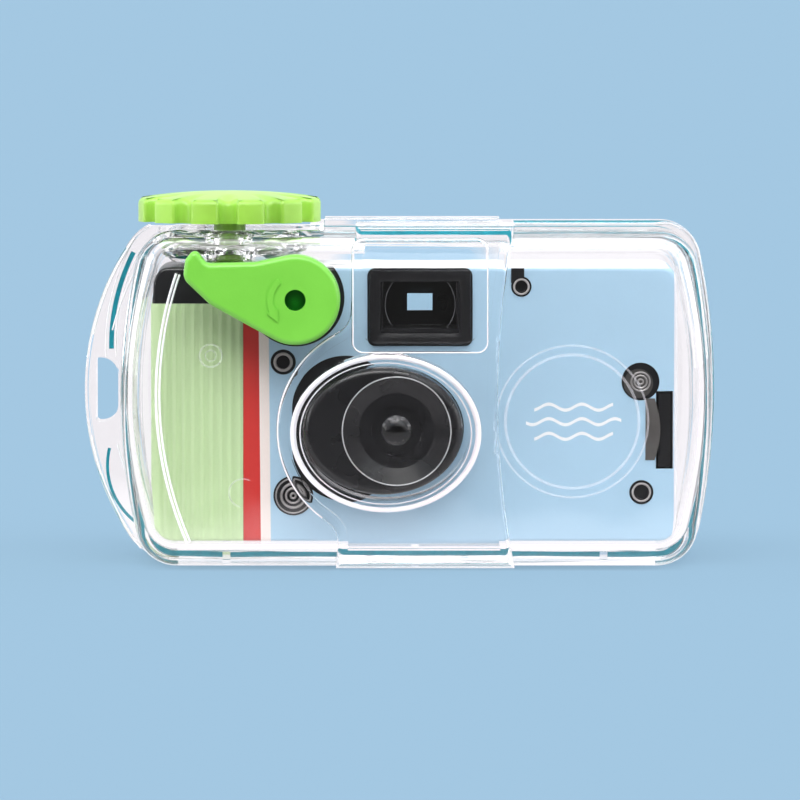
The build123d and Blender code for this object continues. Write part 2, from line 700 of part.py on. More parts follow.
def post_places():
    """Each post's place in X and Z, its radius and the radius of its cut-out."""
    places = []
    for (share_x, share_z), radius, cut_radius in zip(POST_PLACE_SHARES, POST_RADII, POST_CUT_RADII):
        x = CAMERA_X + share_x * CAMERA_W
        z = CAMERA_LOW + CAMERA_H / 2 + share_z * CAMERA_H
        places.append((x, z, radius, cut_radius))
    return places


def camera_covers():
    """The black front and back covers, cut apart behind the winding axis."""
    room = front_prism(
        rounded_window(INNER_LEFT, INNER_RIGHT, INNER_LOW, INNER_TOP, CAMERA_CORNER_R - COVER_WALL),
        INNER_BACK, INNER_FRONT,
    )
    covers = camera_block(0) - room
    front_out = CAMERA_FRONT - OVERRUN
    front_in = INNER_FRONT + OVERRUN
    covers -= front_rod(LENS_X, LENS_Z, LENS_BORE_R, front_in, front_out)
    covers -= tunnel_box(LABEL_GAP, front_in, front_out)
    covers -= eyepiece_box(SEAT_GAP, CAMERA_BACK + OVERRUN, INNER_BACK - OVERRUN)
    covers -= latch_box(LATCH_GAP, front_in, front_out)
    covers -= wheel_slot(CAMERA_BACK + OVERRUN, INNER_BACK - OVERRUN)
    covers -= tab_slot(front_in, front_out)
    top_in = INNER_TOP - OVERRUN
    top_out = CAMERA_TOP + OVERRUN
    covers -= upright_rod(WINDING_X, 0, WHEEL_HUB_R + BORE_GAP, top_in, top_out)
    covers -= upright_rod(COUNTER_X, COUNTER_Y - COUNTER_R / 2, COUNTER_WINDOW_R, top_in, top_out)
    front_half = box_between(
        -HOUSING_W, HOUSING_W, COVER_SPLIT_Y - HOUSING_W, COVER_SPLIT_Y, -HOUSING_H, 2 * HOUSING_H
    )
    front = covers & front_half
    for x, z, radius, _ in post_places():
        post = front_rod(x, z, radius, CAMERA_FRONT, CAMERA_FRONT - POST_H)
        front += post - front_rod(x, z, radius - POST_WALL, CAMERA_FRONT, CAMERA_FRONT - POST_H)
    return front, covers - front_half


def labels():
    """The blue wrap round the camera and the green ribbed one round its grip end."""
    wrap = camera_block(LABEL_T) - camera_block(0)
    front_out = CAMERA_FRONT - OVERRUN
    front_in = CAMERA_FRONT + OVERRUN
    back_in = CAMERA_BACK - OVERRUN
    back_out = CAMERA_BACK + OVERRUN
    cuts = Pos(LENS_X + PANEL_SHIFT_X, LENS_Z) * Ellipse(PANEL_RX + LABEL_GAP, PANEL_RZ + LABEL_GAP)
    left_room = Pos(LENS_X - LENS_HOLE_LEFT_REACH, LENS_Z)
    cuts += left_room * Rectangle(2 * LENS_HOLE_LEFT_R, 2 * LENS_HOLE_LEFT_RISE)
    for rise in (-LENS_HOLE_LEFT_RISE, LENS_HOLE_LEFT_RISE):
        cuts += left_room * Pos(0, rise) * Circle(LENS_HOLE_LEFT_R)
    cuts += finder_window(LABEL_GAP)
    cuts += Pos(LEVER_X, LEVER_Z) * Circle(LEVER_WINDOW_R)
    cuts += Pos(LATCH_X, LATCH_Z) * Rectangle(LATCH_WINDOW_W, LATCH_H + 2 * LATCH_GAP)
    for x, z, _, cut_radius in post_places():
        cuts += Pos(x, z) * Circle(cut_radius)
    wrap -= front_prism(cuts, front_in, front_out)
    wrap -= tab_slot(front_in, front_out)
    wrap -= eyepiece_box(OVERRUN, back_out, back_in)
    wrap -= wheel_slot(back_out, back_in)
    top_in = CAMERA_TOP - OVERRUN
    top_out = CAMERA_TOP + OVERRUN
    wrap -= upright_rod(WINDING_X, 0, WHEEL_HUB_R + WELL_BUSH_H, top_in, top_out)
    wrap -= upright_rod(
        COUNTER_X, COUNTER_Y - COUNTER_R / 2, COUNTER_WINDOW_R + LABEL_GAP, top_in, top_out
    )
    low = CAMERA_LOW - OVERRUN
    body = wrap & box_between(
        GRIP_LABEL_RIGHT, CAMERA_RIGHT - COVER_EDGE_R, front_out, back_out, low, top_out
    )
    grip = wrap & box_between(
        CAMERA_LEFT - OVERRUN, GRIP_LABEL_RIGHT - SEAT_GAP, front_out, back_out, low, GRIP_LABEL_TOP
    )
    rib_face = CAMERA_FRONT - LABEL_T
    ribs = int((GRIP_LABEL_W - 2 * COVER_EDGE_R) / GRIP_RIB_PITCH)
    first_rib = GRIP_LABEL_RIGHT - GRIP_RIB_PITCH / 2
    for index in range(ribs):
        x = first_rib - index * GRIP_RIB_PITCH
        grip += box_between(
            x - GRIP_RIB_W / 2, x + GRIP_RIB_W / 2, rib_face - GRIP_RIB_H, rib_face,
            CAMERA_LOW + CAMERA_CORNER_R, GRIP_LABEL_TOP - COVER_EDGE_R,
        )
    return body, grip


def revolved_front(x, z, profile):
    """A turned piece facing forward: profile is a closed chain of (radius, y) points."""
    face = make_face(Plane.XY * Polyline(*profile, profile[0]))
    return Pos(x, 0, z) * revolve(face, Axis.Y)


def lens_surround():
    """The black oval panel that stands round the lens, with a stepped funnel in it."""
    panel = Pos(LENS_X + PANEL_SHIFT_X, LENS_Z) * Ellipse(PANEL_RX, PANEL_RZ)
    panel = front_prism(panel, CAMERA_FRONT, PANEL_FRONT)
    panel = fillet(front_edges(panel, PANEL_FRONT), PANEL_EDGE_R)
    funnel = revolved_front(LENS_X, LENS_Z, (
        (0, PANEL_FRONT - OVERRUN), (FUNNEL_MOUTH_R, PANEL_FRONT - OVERRUN), (FUNNEL_MOUTH_R, PANEL_FRONT),
        (FUNNEL_FOOT_R, PANEL_FRONT + FUNNEL_DEPTH), (LENS_BORE_R, PANEL_FRONT + FUNNEL_DEPTH),
        (LENS_BORE_R, CAMERA_FRONT + OVERRUN), (0, CAMERA_FRONT + OVERRUN),
    ))
    return panel - funnel


def lens_ring():
    face = Circle(LENS_BORE_R - SEAT_GAP) - Circle(LENS_RING_INNER_R)
    return front_prism(Pos(LENS_X, LENS_Z) * face, LENS_FRONT + LENS_RING_T, LENS_FRONT)


def front_lens():
    """The front lens: a disc behind its ring and a domed face that comes through the ring."""
    back = LENS_FRONT + LENS_RING_T + LENS_T
    disc = front_rod(LENS_X, LENS_Z, LENS_BORE_R - SEAT_GAP, back, LENS_FRONT + LENS_RING_T)
    neck_r = LENS_RING_INNER_R - SEAT_GAP
    neck_front = LENS_FRONT - LENS_NECK_RISE
    neck = front_rod(LENS_X, LENS_Z, neck_r, back, neck_front - LENS_DOME_R)
    ball_y = neck_front + chord(LENS_DOME_R, neck_r)
    ball = Pos(LENS_X, ball_y, LENS_Z) * Sphere(LENS_DOME_R)
    return disc + (neck & ball) + front_rod(LENS_X, LENS_Z, neck_r, back, neck_front)


def main_frame():
    """The inner frame: light path and film gate, between the cartridge and the film chamber."""
    face = rounded_window(
        WINDING_X, LATCH_X - LATCH_W / 2 - LATCH_GAP, INNER_LOW + LABEL_GAP, FRAME_TOP,
        CAMERA_CORNER_R - COVER_WALL,
    )
    frame = front_prism(face, FILM_Y - LABEL_GAP, FRAME_FRONT)
    low = INNER_LOW - OVERRUN
    top = FRAME_TOP + OVERRUN
    for x, y, radius in (
        (WINDING_X, 0, CARTRIDGE_R + CARTRIDGE_FRONT_GAP),
        (SUPPLY_X, SUPPLY_Y, SUPPLY_ROLL_R + RUNNING_GAP),
    ):
        frame -= upright_rod(x, y, radius, low, top)
        frame -= box_between(x - radius, x + radius, y, FILM_Y + OVERRUN, low, top)
    cone = loft([
        Plane.XZ.offset(-SHUTTER_BACK) * Pos(LENS_X, LENS_Z) * Rectangle(2 * REAR_LENS_R, 2 * REAR_LENS_R),
        Plane.XZ.offset(-FILM_Y) * Pos(LENS_X, LENS_Z) * Rectangle(GATE_W, GATE_H),
    ])
    frame -= cone
    frame -= front_prism(
        Pos(LENS_X, LENS_Z) * Rectangle(SHUTTER_ROOM_W, SHUTTER_ROOM_H),
        SHUTTER_BACK, FRAME_FRONT - OVERRUN,
    )
    frame -= front_rod(LENS_X, LENS_Z, REAR_LENS_R + SEAT_GAP, SHUTTER_BACK + REAR_LENS_T, SHUTTER_BACK)
    frame -= upright_rod(
        SPROCKET_X, SPROCKET_Y, SPROCKET_R + SPROCKET_TOOTH + RUNNING_GAP,
        SPROCKET_Z - SPROCKET_T / 2 - RUNNING_GAP, top,
    )
    frame -= tunnel_box(LABEL_GAP + RUNNING_GAP, FILM_Y + OVERRUN, FRAME_FRONT - OVERRUN)
    frame -= upright_rod(
        SPROCKET_X, SPROCKET_Y, SPROCKET_SHAFT_R + BORE_GAP, SPROCKET_STUB_LOW - LABEL_GAP, SPROCKET_Z
    )
    shoulder = COUNTER_LOW - RUNNING_GAP
    frame += upright_rod(COUNTER_X, COUNTER_Y, COUNTER_POST_R, FRAME_TOP - SPOOL_GAP, shoulder)
    frame += upright_rod(COUNTER_X, COUNTER_Y, COUNTER_PIN_R, shoulder, COUNTER_TOP)
    frame += upright_rod(PAWL_X, PAWL_Y, PAWL_PIN_R, FRAME_TOP - SPOOL_GAP, WHEEL_TOP)
    return frame


def shutter_plate():
    """The plate in front of the light path, with the aperture and the blade's pin."""
    side = SHUTTER_ROOM_W - 2 * LABEL_GAP
    height = SHUTTER_ROOM_H - 2 * LABEL_GAP
    plate = front_prism(
        Pos(LENS_X, LENS_Z) * RectangleRounded(side, height, LENS_RING_T),
        SHUTTER_BACK - SEAT_GAP, SHUTTER_PLATE_FRONT,
    )
    plate -= front_rod(LENS_X, LENS_Z, APERTURE_R, SHUTTER_BACK, SHUTTER_PLATE_FRONT - OVERRUN)
    pin = front_rod(
        LENS_X + BLADE_PIVOT_X, LENS_Z + BLADE_PIVOT_Z, BLADE_PIN_R, SHUTTER_PLATE_FRONT,
        INNER_FRONT + SEAT_GAP,
    )
    return plate + pin


def shutter_blade():
    """The blade: a disc over the aperture on an arm from its pin."""
    pivot = (LENS_X + BLADE_PIVOT_X, LENS_Z + BLADE_PIVOT_Z)
    arm = trace(Line(pivot, (LENS_X, LENS_Z)), line_width=BLADE_ARM_W)
    face = arm + Pos(LENS_X, LENS_Z) * Circle(BLADE_R) + Pos(*pivot) * Circle(BLADE_HUB_R)
    face -= Pos(*pivot) * Circle(BLADE_PIN_R + BORE_GAP)
    return front_prism(face, BLADE_BACK, BLADE_BACK - BLADE_T)


def open_ring(x, z, inner_r, outer_r, start_deg, end_deg):
    """Part of a flat ring as seen from the front, from one angle round to another."""
    far = 2 * outer_r
    middle = (start_deg + end_deg) / 2
    wedge = [(0, 0)]
    for angle in (start_deg, (start_deg + middle) / 2, middle, (end_deg + middle) / 2, end_deg):
        wedge.append((far * cos(radians(angle)), far * sin(radians(angle))))
    ring = (Circle(outer_r) - Circle(inner_r)) & Polygon(*wedge, align=None)
    return Pos(x, z) * ring


def shutter_spring():
    """A wire ring round the blade's pin, in front of the blade."""
    ring = open_ring(
        LENS_X + BLADE_PIVOT_X, LENS_Z + BLADE_PIVOT_Z, BLADE_PIN_R + RUNNING_GAP / 2,
        BLADE_PIN_R + RUNNING_GAP / 2 + SPRING_WIRE / 2, SPRING_GAP_DEG / 2,
        FULL_TURN_DEG - SPRING_GAP_DEG / 2,
    )
    front = BLADE_BACK - BLADE_T - RUNNING_GAP
    return front_prism(ring, front, front - SPRING_WIRE / 2)


def winding_knob():
    """The lobed knob: a skirt with scooped grooves, a shallow dome and a hub for the shaft."""
    inner = KNOB_R - KNOB_WALL
    roof_low = KNOB_RIM_TOP - KNOB_WALL
    profile = Polyline(
        (0, roof_low), (inner, roof_low), (inner, KNOB_LOW), (KNOB_R, KNOB_LOW),
        (KNOB_R, KNOB_RIM_TOP - KNOB_RIM_STEP), (KNOB_R - KNOB_RIM_STEP, KNOB_RIM_TOP),
        (KNOB_DOME_R, KNOB_TOP), (0, KNOB_TOP), (0, roof_low),
    )
    knob = revolve(make_face(Plane.XZ * profile), Axis.Z)
    reach = KNOB_R + KNOB_GROOVE_R - KNOB_GROOVE_BITE
    for index in range(KNOB_LOBES):
        angle = 2 * pi * index / KNOB_LOBES
        groove = upright_rod(
            reach * cos(angle), reach * sin(angle), KNOB_GROOVE_R, KNOB_LOW - OVERRUN, KNOB_TOP
        )
        knob -= groove
    knob += upright_rod(0, 0, KNOB_HUB_R, KNOB_LOW, roof_low)
    knob -= upright_rod(0, 0, WINDING_SHAFT_R, KNOB_LOW, KNOB_LOW + SHAFT_SOCKET_DEPTH)
    return Pos(WINDING_X, 0, 0) * knob


def seal_seat(z_middle):
    """The groove that a seal ring lies in, cut round the winding shaft."""
    groove = Circle(WINDING_SHAFT_R + OVERRUN) - Circle(WINDING_SHAFT_R - 2 * SEAL_WIRE_R)
    return flat_prism(Pos(WINDING_X, 0) * groove, z_middle - SEAL_WIRE_R, z_middle + SEAL_WIRE_R)


def winding_shaft():
    """The shaft below the knob, with its seal groove, clip groove and flat driving blade."""
    low = CAMERA_TOP + RUNNING_GAP
    shaft = upright_rod(WINDING_X, 0, WINDING_SHAFT_R, low, KNOB_LOW + SHAFT_SOCKET_DEPTH)
    shaft -= seal_seat(WELL_FLOOR)
    clip_low = WELL_LOW + LABEL_GAP
    clip_groove = Circle(WINDING_SHAFT_R + OVERRUN) - Circle(WINDING_SHAFT_R - CLIP_GROOVE_DEPTH)
    shaft -= flat_prism(Pos(WINDING_X, 0) * clip_groove, clip_low, clip_low + CLIP_T)
    blade = Pos(WINDING_X, 0) * Rectangle(DOG_LENGTH, DOG_W)
    return shaft + flat_prism(blade, low - DOG_REACH, low)


def knob_seal():
    return Pos(WINDING_X, 0, WELL_FLOOR) * Torus(WINDING_SHAFT_R - SEAL_WIRE_R, SEAL_WIRE_R)


def knob_clip():
    """The spring clip that snaps into the shaft below the floor of the well."""
    clip_low = WELL_LOW + LABEL_GAP
    ring = Circle(CLIP_R) - Circle(WINDING_SHAFT_R - CLIP_GROOVE_DEPTH)
    mouth = Pos(0, CLIP_R / 2) * Rectangle(WINDING_SHAFT_R, CLIP_R)
    return flat_prism(Pos(WINDING_X, 0) * (ring - mouth), clip_low, clip_low + CLIP_T)


def tangent_point(x, z, radius, side):
    """Where a line from (x, z) touches a circle round the middle, on one side or the other."""
    angle = atan2(z, x) + side * acos(radius / hypot(x, z))
    return radius * cos(angle), radius * sin(angle)


def lever_outline():
    """The lever seen from the front: a round head with a tail that ends in a thumb hook."""
    corners = [(x * LEVER_REACH, z * LEVER_REACH) for x, z in TAIL_SHARES]
    first = tangent_point(*corners[0], LEVER_R, -1)
    last = tangent_point(*corners[-1], LEVER_R, 1)
    tail = Polygon((0, 0), first, *corners, last, align=None)
    for (x, z), share in zip(corners, TAIL_ROUND_SHARES):
        corner = tail.vertices().sort_by_distance((x, z, 0))[:1]
        tail = fillet(corner, share * LEVER_REACH)
    return Pos(LEVER_X, LEVER_Z) * (tail + Circle(LEVER_R))


def shutter_lever():
    """The moulded lever with a turning mark raised on its head."""
    lever = front_prism(lever_outline(), LEVER_BACK, LEVER_FRONT)
    lever = fillet(front_edges(lever, LEVER_FRONT), LEVER_EDGE_R)
    lever -= front_rod(LEVER_X, LEVER_Z, LEVER_HOLE_R, LEVER_FRONT + LEVER_HOLE_DEPTH, LEVER_FRONT)
    mark = open_ring(
        LEVER_X, LEVER_Z, MARK_R - MARK_W / 2, MARK_R + MARK_W / 2, MARK_START_DEG, MARK_END_DEG
    )
    tip_x = LEVER_X + MARK_R * cos(radians(MARK_END_DEG))
    tip_z = LEVER_Z + MARK_R * sin(radians(MARK_END_DEG))
    head = Pos(tip_x, tip_z) * Rot(0, 0, MARK_END_DEG) * Polygon(
        (-MARK_HEAD / 2, 0), (MARK_HEAD / 2, 0), (0, MARK_HEAD), align=None
    )
    lever += front_prism(mark + head, LEVER_FRONT, LEVER_FRONT - MARK_H)
    lever -= front_rod(LEVER_X, LEVER_Z, LEVER_SHAFT_R, LEVER_BACK, LEVER_BACK - SHAFT_SOCKET_DEPTH)
    return lever


def lever_shaft():
    """The lever's shaft through the front wall, with a groove for its seal ring."""
    shaft = front_rod(LEVER_X, LEVER_Z, LEVER_SHAFT_R, ARM_BACK, LEVER_BACK - SHAFT_SOCKET_DEPTH)
    middle = (SHELL_FRONT + CAVITY_FRONT) / 2
    groove = Pos(LEVER_X, LEVER_Z) * (
        Circle(LEVER_SHAFT_R + OVERRUN) - Circle(LEVER_SHAFT_R - 2 * SEAL_WIRE_R)
    )
    return shaft - front_prism(groove, middle + SEAL_WIRE_R, middle - SEAL_WIRE_R)


def lever_seal():
    middle = (SHELL_FRONT + CAVITY_FRONT) / 2
    ring = Torus(LEVER_SHAFT_R - SEAL_WIRE_R, SEAL_WIRE_R)
    return Pos(LEVER_X, middle, LEVER_Z) * Rot(90, 0, 0) * ring


def lever_spring():
    """The wire ring round the lever's bush that turns the lever back up."""
    inner_r = LEVER_BUSH_R + RUNNING_GAP
    ring = open_ring(
        LEVER_X, LEVER_Z, inner_r, inner_r + SPRING_WIRE, SPRING_GAP_DEG / 2,
        FULL_TURN_DEG - SPRING_GAP_DEG / 2,
    )
    return front_prism(ring, SHELL_FRONT - LABEL_GAP, SHELL_FRONT - LABEL_GAP - SPRING_WIRE)


def release_arm():
    """The arm on the shaft inside the housing, which reaches over the camera's release."""
    hub = Circle(ARM_HUB_R) - Circle(LEVER_SHAFT_R)
    leg = Pos(0, ARM_RISE / 2) * Rectangle(ARM_W, ARM_RISE)
    bar = Pos((ARM_W / 2 - ARM_REACH) / 2, ARM_RISE - ARM_TIP_H / 2) * Rectangle(
        ARM_REACH + ARM_W / 2, ARM_TIP_H
    )
    face = hub + (leg - Circle(LEVER_SHAFT_R)) + bar
    return front_prism(Pos(LEVER_X, LEVER_Z) * face, ARM_BACK, ARM_FRONT)


def release_slide():
    """The camera's own release: a tab in front, a bar behind the cover and a leg down."""
    right = COUNTER_X - SLIDE_LEG_W / 2
    bar_front = SLIDE_BACK - SLIDE_T
    slide = box_between(TAB_LEFT, right, bar_front, SLIDE_BACK, TAB_LOW, TAB_TOP)
    slide += box_between(
        TAB_LEFT, TAB_LEFT + SLIDE_TAB_W, ARM_FRONT + LABEL_GAP, bar_front + SEAT_GAP, TAB_LOW, TAB_TOP
    )
    slide += box_between(
        right - SLIDE_LEG_W, right, bar_front, SLIDE_BACK, TAB_LOW - SLIDE_LEG_H, TAB_LOW + SEAT_GAP
    )
    return slide


def release_leaf():
    """The leaf spring on the frame below the slide's bar."""
    top = TAB_LOW - SLIDE_TRAVEL - LABEL_GAP
    right = COUNTER_X - SLIDE_LEG_W - SLIDE_LEG_W
    middle = SLIDE_BACK - SLIDE_T / 2
    wide = SLIDE_LEG_W / 2
    leaf = box_between(
        right - RELEASE_LEAF_L, right, middle - wide, middle + wide, top - RELEASE_LEAF_T, top
    )
    leaf += box_between(
        right - RELEASE_LEAF_T, right, middle - wide, middle + wide, FRAME_TOP, top
    )
    return leaf


def cartridge():
    """The film cartridge's can with its light-trap lip, and its two end caps."""
    inside = Circle(CARTRIDGE_R - CARTRIDGE_WALL)
    film_middle = FILM_Y + FILM_T / 2
    lip_left = chord(CARTRIDGE_R, FILM_Y + LIP_T)
    lip_width = CARTRIDGE_R - lip_left
    lip_middle = (CARTRIDGE_R + lip_left) / 2
    face = Circle(CARTRIDGE_R) + Pos(lip_middle, film_middle) * Rectangle(lip_width, LIP_T) - inside
    face -= Pos(lip_middle + OVERRUN / 2, film_middle) * Rectangle(lip_width + OVERRUN, LIP_SLOT)
    can = flat_prism(Pos(WINDING_X, 0) * face, CARTRIDGE_LOW + CAP_T, CARTRIDGE_TOP - CAP_T)
    caps = []
    for low in (CARTRIDGE_LOW, CARTRIDGE_TOP - CAP_T):
        cap = upright_rod(WINDING_X, 0, CARTRIDGE_R, low, low + CAP_T)
        caps.append(cap - upright_rod(WINDING_X, 0, SPOOL_STUB_R + BORE_GAP, low, low + CAP_T))
    return can, Compound(children=caps)


def cartridge_spool():
    """The spool in the cartridge, with a slotted stub at its top."""
    low = CARTRIDGE_LOW + CAP_T + LABEL_GAP
    top = CARTRIDGE_TOP - CAP_T - LABEL_GAP
    stub_top = CARTRIDGE_TOP + SPOOL_STUB_H
    spool = upright_rod(WINDING_X, 0, SPOOL_R, low, top)
    spool += upright_rod(WINDING_X, 0, SPOOL_STUB_R, CARTRIDGE_LOW, stub_top)
    slot = box_between(
        WINDING_X - SPOOL_R, WINDING_X + SPOOL_R, -DOG_W / 2 - RUNNING_GAP, DOG_W / 2 + RUNNING_GAP,
        stub_top - SPOOL_STUB_H + LABEL_GAP, stub_top + OVERRUN,
    )
    return spool - slot


def thumbwheel():
    """The camera's own winding wheel: toothed rim, blade below and slotted hub above."""
    teeth = Circle(WHEEL_R)
    for index in range(WHEEL_TEETH):
        angle = 2 * pi * index / WHEEL_TEETH
        teeth -= Pos(WHEEL_R * cos(angle), WHEEL_R * sin(angle)) * Circle(WHEEL_TOOTH_R)
    wheel = flat_prism(Pos(WINDING_X, 0) * teeth, WHEEL_LOW, WHEEL_TOP)
    wheel += upright_rod(WINDING_X, 0, WHEEL_HUB_R, WHEEL_TOP, WHEEL_HUB_TOP)
    blade = Pos(WINDING_X, 0) * Rectangle(DOG_LENGTH, DOG_W)
    wheel += flat_prism(blade, WHEEL_LOW - SPOOL_STUB_H + RUNNING_GAP, WHEEL_LOW)
    socket_low = CAMERA_TOP + RUNNING_GAP - DOG_REACH - RUNNING_GAP
    wheel -= box_between(
        WINDING_X - WHEEL_HUB_R, WINDING_X + WHEEL_HUB_R, -DOG_W / 2 - RUNNING_GAP,
        DOG_W / 2 + RUNNING_GAP, socket_low, WHEEL_HUB_TOP + OVERRUN,
    )
    return wheel


def pawl():
    """The click pawl that keeps the thumbwheel from turning back."""
    reach = WHEEL_R + RUNNING_GAP
    tip_x = WINDING_X + reach * cos(radians(PAWL_TIP_DEG))
    tip_y = reach * sin(radians(PAWL_TIP_DEG)) + PAWL_W / 2
    arm = trace(Line((PAWL_X, PAWL_Y), (tip_x, tip_y)), line_width=PAWL_W)
    face = arm + Pos(PAWL_X, PAWL_Y) * Circle(PAWL_HUB_R)
    face -= Pos(PAWL_X, PAWL_Y) * Circle(PAWL_PIN_R + BORE_GAP)
    face -= Pos(WINDING_X, 0) * Circle(reach)
    low = WHEEL_LOW + RUNNING_GAP
    return flat_prism(face, low, low + PAWL_T)


def film_strip():
    """The film from the cartridge's lip to the supply roll, with both rows of perforations."""
    left = WINDING_X + chord(CARTRIDGE_R, FILM_Y)
    strip = box_between(
        left, SUPPLY_X, FILM_Y, FILM_Y + FILM_T, LENS_Z - FILM_W / 2, LENS_Z + FILM_W / 2
    )
    holes = []
    for index in range(PERFORATIONS):
        x = SPROCKET_X + index * PERFORATION_PITCH
        for side in (-1, 1):
            z = LENS_Z + side * (FILM_W / 2 - PERFORATION_EDGE)
            holes.append(Pos(x, z) * Rectangle(PERFORATION_W, PERFORATION_H))
    return strip - front_prism(Sketch() + holes, FILM_Y + OVERRUN, FILM_Y - OVERRUN)


def supply():
    """The spool that the unexposed film is wound on, and the roll of film on it."""
    spool = upright_rod(
        SUPPLY_X, SUPPLY_Y, SUPPLY_SPOOL_R, INNER_LOW + LABEL_GAP, FRAME_TOP - LABEL_GAP
    )
    ring = Pos(SUPPLY_X, SUPPLY_Y) * (Circle(SUPPLY_ROLL_R) - Circle(SUPPLY_SPOOL_R))
    return spool, flat_prism(ring, LENS_Z - FILM_W / 2, LENS_Z + FILM_W / 2)


def sprocket():
    """The toothed wheel that the film turns, on its shaft."""
    face = Circle(SPROCKET_R)
    for index in range(SPROCKET_TEETH):
        tooth = Pos(SPROCKET_R, 0) * Rectangle(2 * SPROCKET_TOOTH, SPROCKET_T)
        face += Rot(0, 0, FULL_TURN_DEG * index / SPROCKET_TEETH) * tooth
    wheel = flat_prism(
        Pos(SPROCKET_X, SPROCKET_Y) * face, SPROCKET_Z - SPROCKET_T / 2, SPROCKET_Z + SPROCKET_T / 2
    )
    return wheel + upright_rod(
        SPROCKET_X, SPROCKET_Y, SPROCKET_SHAFT_R, SPROCKET_STUB_LOW, COUNTER_LOW - RUNNING_GAP
    )


def counter_disc():
    face = Circle(COUNTER_R) - Circle(COUNTER_PIN_R + BORE_GAP)
    return flat_prism(Pos(COUNTER_X, COUNTER_Y) * face, COUNTER_LOW, COUNTER_TOP)


def pressure_rails():
    """Two rails inside the back cover that keep the film flat over the gate."""
    rails = []
    for side in (-1, 1):
        z = LENS_Z + side * (GATE_H / 2 + PERFORATION_H)
        rails.append(box_between(
            LENS_X - GATE_W / 2, LENS_X + GATE_W / 2, FILM_Y + FILM_T + LABEL_GAP,
            INNER_BACK + SEAT_GAP, z - COVER_WALL / 2, z + COVER_WALL / 2,
        ))
    return rails


def finder_frame():
    """The black frame in front of the viewfinder, with the tunnel behind it."""
    y_back = INNER_BACK - LABEL_GAP
    plate = front_prism(finder_window(0), CAMERA_FRONT, CAMERA_FRONT - FINDER_RISE)
    tunnel = tunnel_box(0, y_back, CAMERA_FRONT - FINDER_RISE / 2)
    hollow = tunnel_box(-TUNNEL_WALL, y_back + OVERRUN, CAMERA_FRONT - FINDER_RISE - OVERRUN)
    return plate + tunnel - hollow


def finder_pieces():
    """The finder's front lens, the mask half way down its tunnel, and the eyepiece lens."""
    inset = -TUNNEL_WALL - SEAT_GAP
    front = CAMERA_FRONT + FINDER_LENS_STEP
    lens = tunnel_box(inset, front + FINDER_LENS_T, front)
    mask = tunnel_box(inset, MASK_T / 2, -MASK_T / 2)
    mask -= front_prism(Pos(FINDER_X, FINDER_Z) * Rectangle(MASK_W, MASK_H), MASK_T, -MASK_T)
    eyepiece = eyepiece_box(0, CAMERA_BACK, CAMERA_BACK - EYEPIECE_T)
    return lens, mask, eyepiece


def side_latch():
    """The tongue that runs from the back cover to a hook in the front cover's slot."""
    hook = latch_box(0, INNER_FRONT + LATCH_HOOK, CAMERA_FRONT + LABEL_GAP)
    tongue = latch_box(0, INNER_BACK, INNER_FRONT + LATCH_HOOK)
    tongue &= box_between(
        LATCH_X, CAMERA_RIGHT, CAMERA_FRONT, CAMERA_BACK, CAMERA_LOW, CAMERA_TOP
    )
    return hook + tongue


def build_nodes():
    """Every piece under the name of its file."""
    front_shell, rear_shell = housing()
    front_cover, rear_cover = camera_covers()
    label, grip_label = labels()
    can, caps = cartridge()
    supply_spool, film_roll = supply()
    finder_lens, finder_mask, eyepiece = finder_pieces()
    rear_lens = front_rod(
        LENS_X, LENS_Z, REAR_LENS_R, SHUTTER_BACK + REAR_LENS_T, SHUTTER_BACK + SEAT_GAP
    )
    return {
        "front_shell": front_shell,
        "rear_shell": rear_shell,
        "rim_gasket": gasket_ring(SEAT_GAP, GASKET_T - SEAT_GAP),
        "winding_knob": winding_knob(),
        "winding_shaft": winding_shaft(),
        "winding_seal": knob_seal(),
        "winding_clip": knob_clip(),
        "shutter_lever": shutter_lever(),
        "lever_shaft": lever_shaft(),
        "lever_seal": lever_seal(),
        "lever_spring": lever_spring(),
        "release_arm": release_arm(),
        "front_cover": front_cover,
        "rear_cover": rear_cover + pressure_rails(),
        "side_latch": side_latch(),
        "label_wrap": label,
        "grip_label": grip_label,
        "lens_surround": lens_surround(),
        "lens_ring": lens_ring(),
        "front_lens": front_lens(),
        "rear_lens": rear_lens,
        "finder_frame": finder_frame(),
        "finder_lens": finder_lens,
        "finder_mask": finder_mask,
        "eyepiece_lens": eyepiece,
        "main_frame": main_frame(),
        "shutter_plate": shutter_plate(),
        "shutter_blade": shutter_blade(),
        "shutter_spring": shutter_spring(),
        "release_slide": release_slide(),
        "release_leaf": release_leaf(),
        "cartridge_can": can,
        "cartridge_caps": caps,
        "cartridge_spool": cartridge_spool(),
        "thumbwheel": thumbwheel(),
        "click_pawl": pawl(),
        "film_strip": film_strip(),
        "film_roll": film_roll,
        "supply_spool": supply_spool,
        "film_sprocket": sprocket(),
        "counter_disc": counter_disc(),
    }


os.makedirs("parts", exist_ok=True)
for name, solid in build_nodes().items():
    export_step(solid, f"parts/{name}.step")
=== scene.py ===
from math import atan2, cos, pi, radians, sin

import bmesh
import bpy
from mathutils import Matrix, Vector


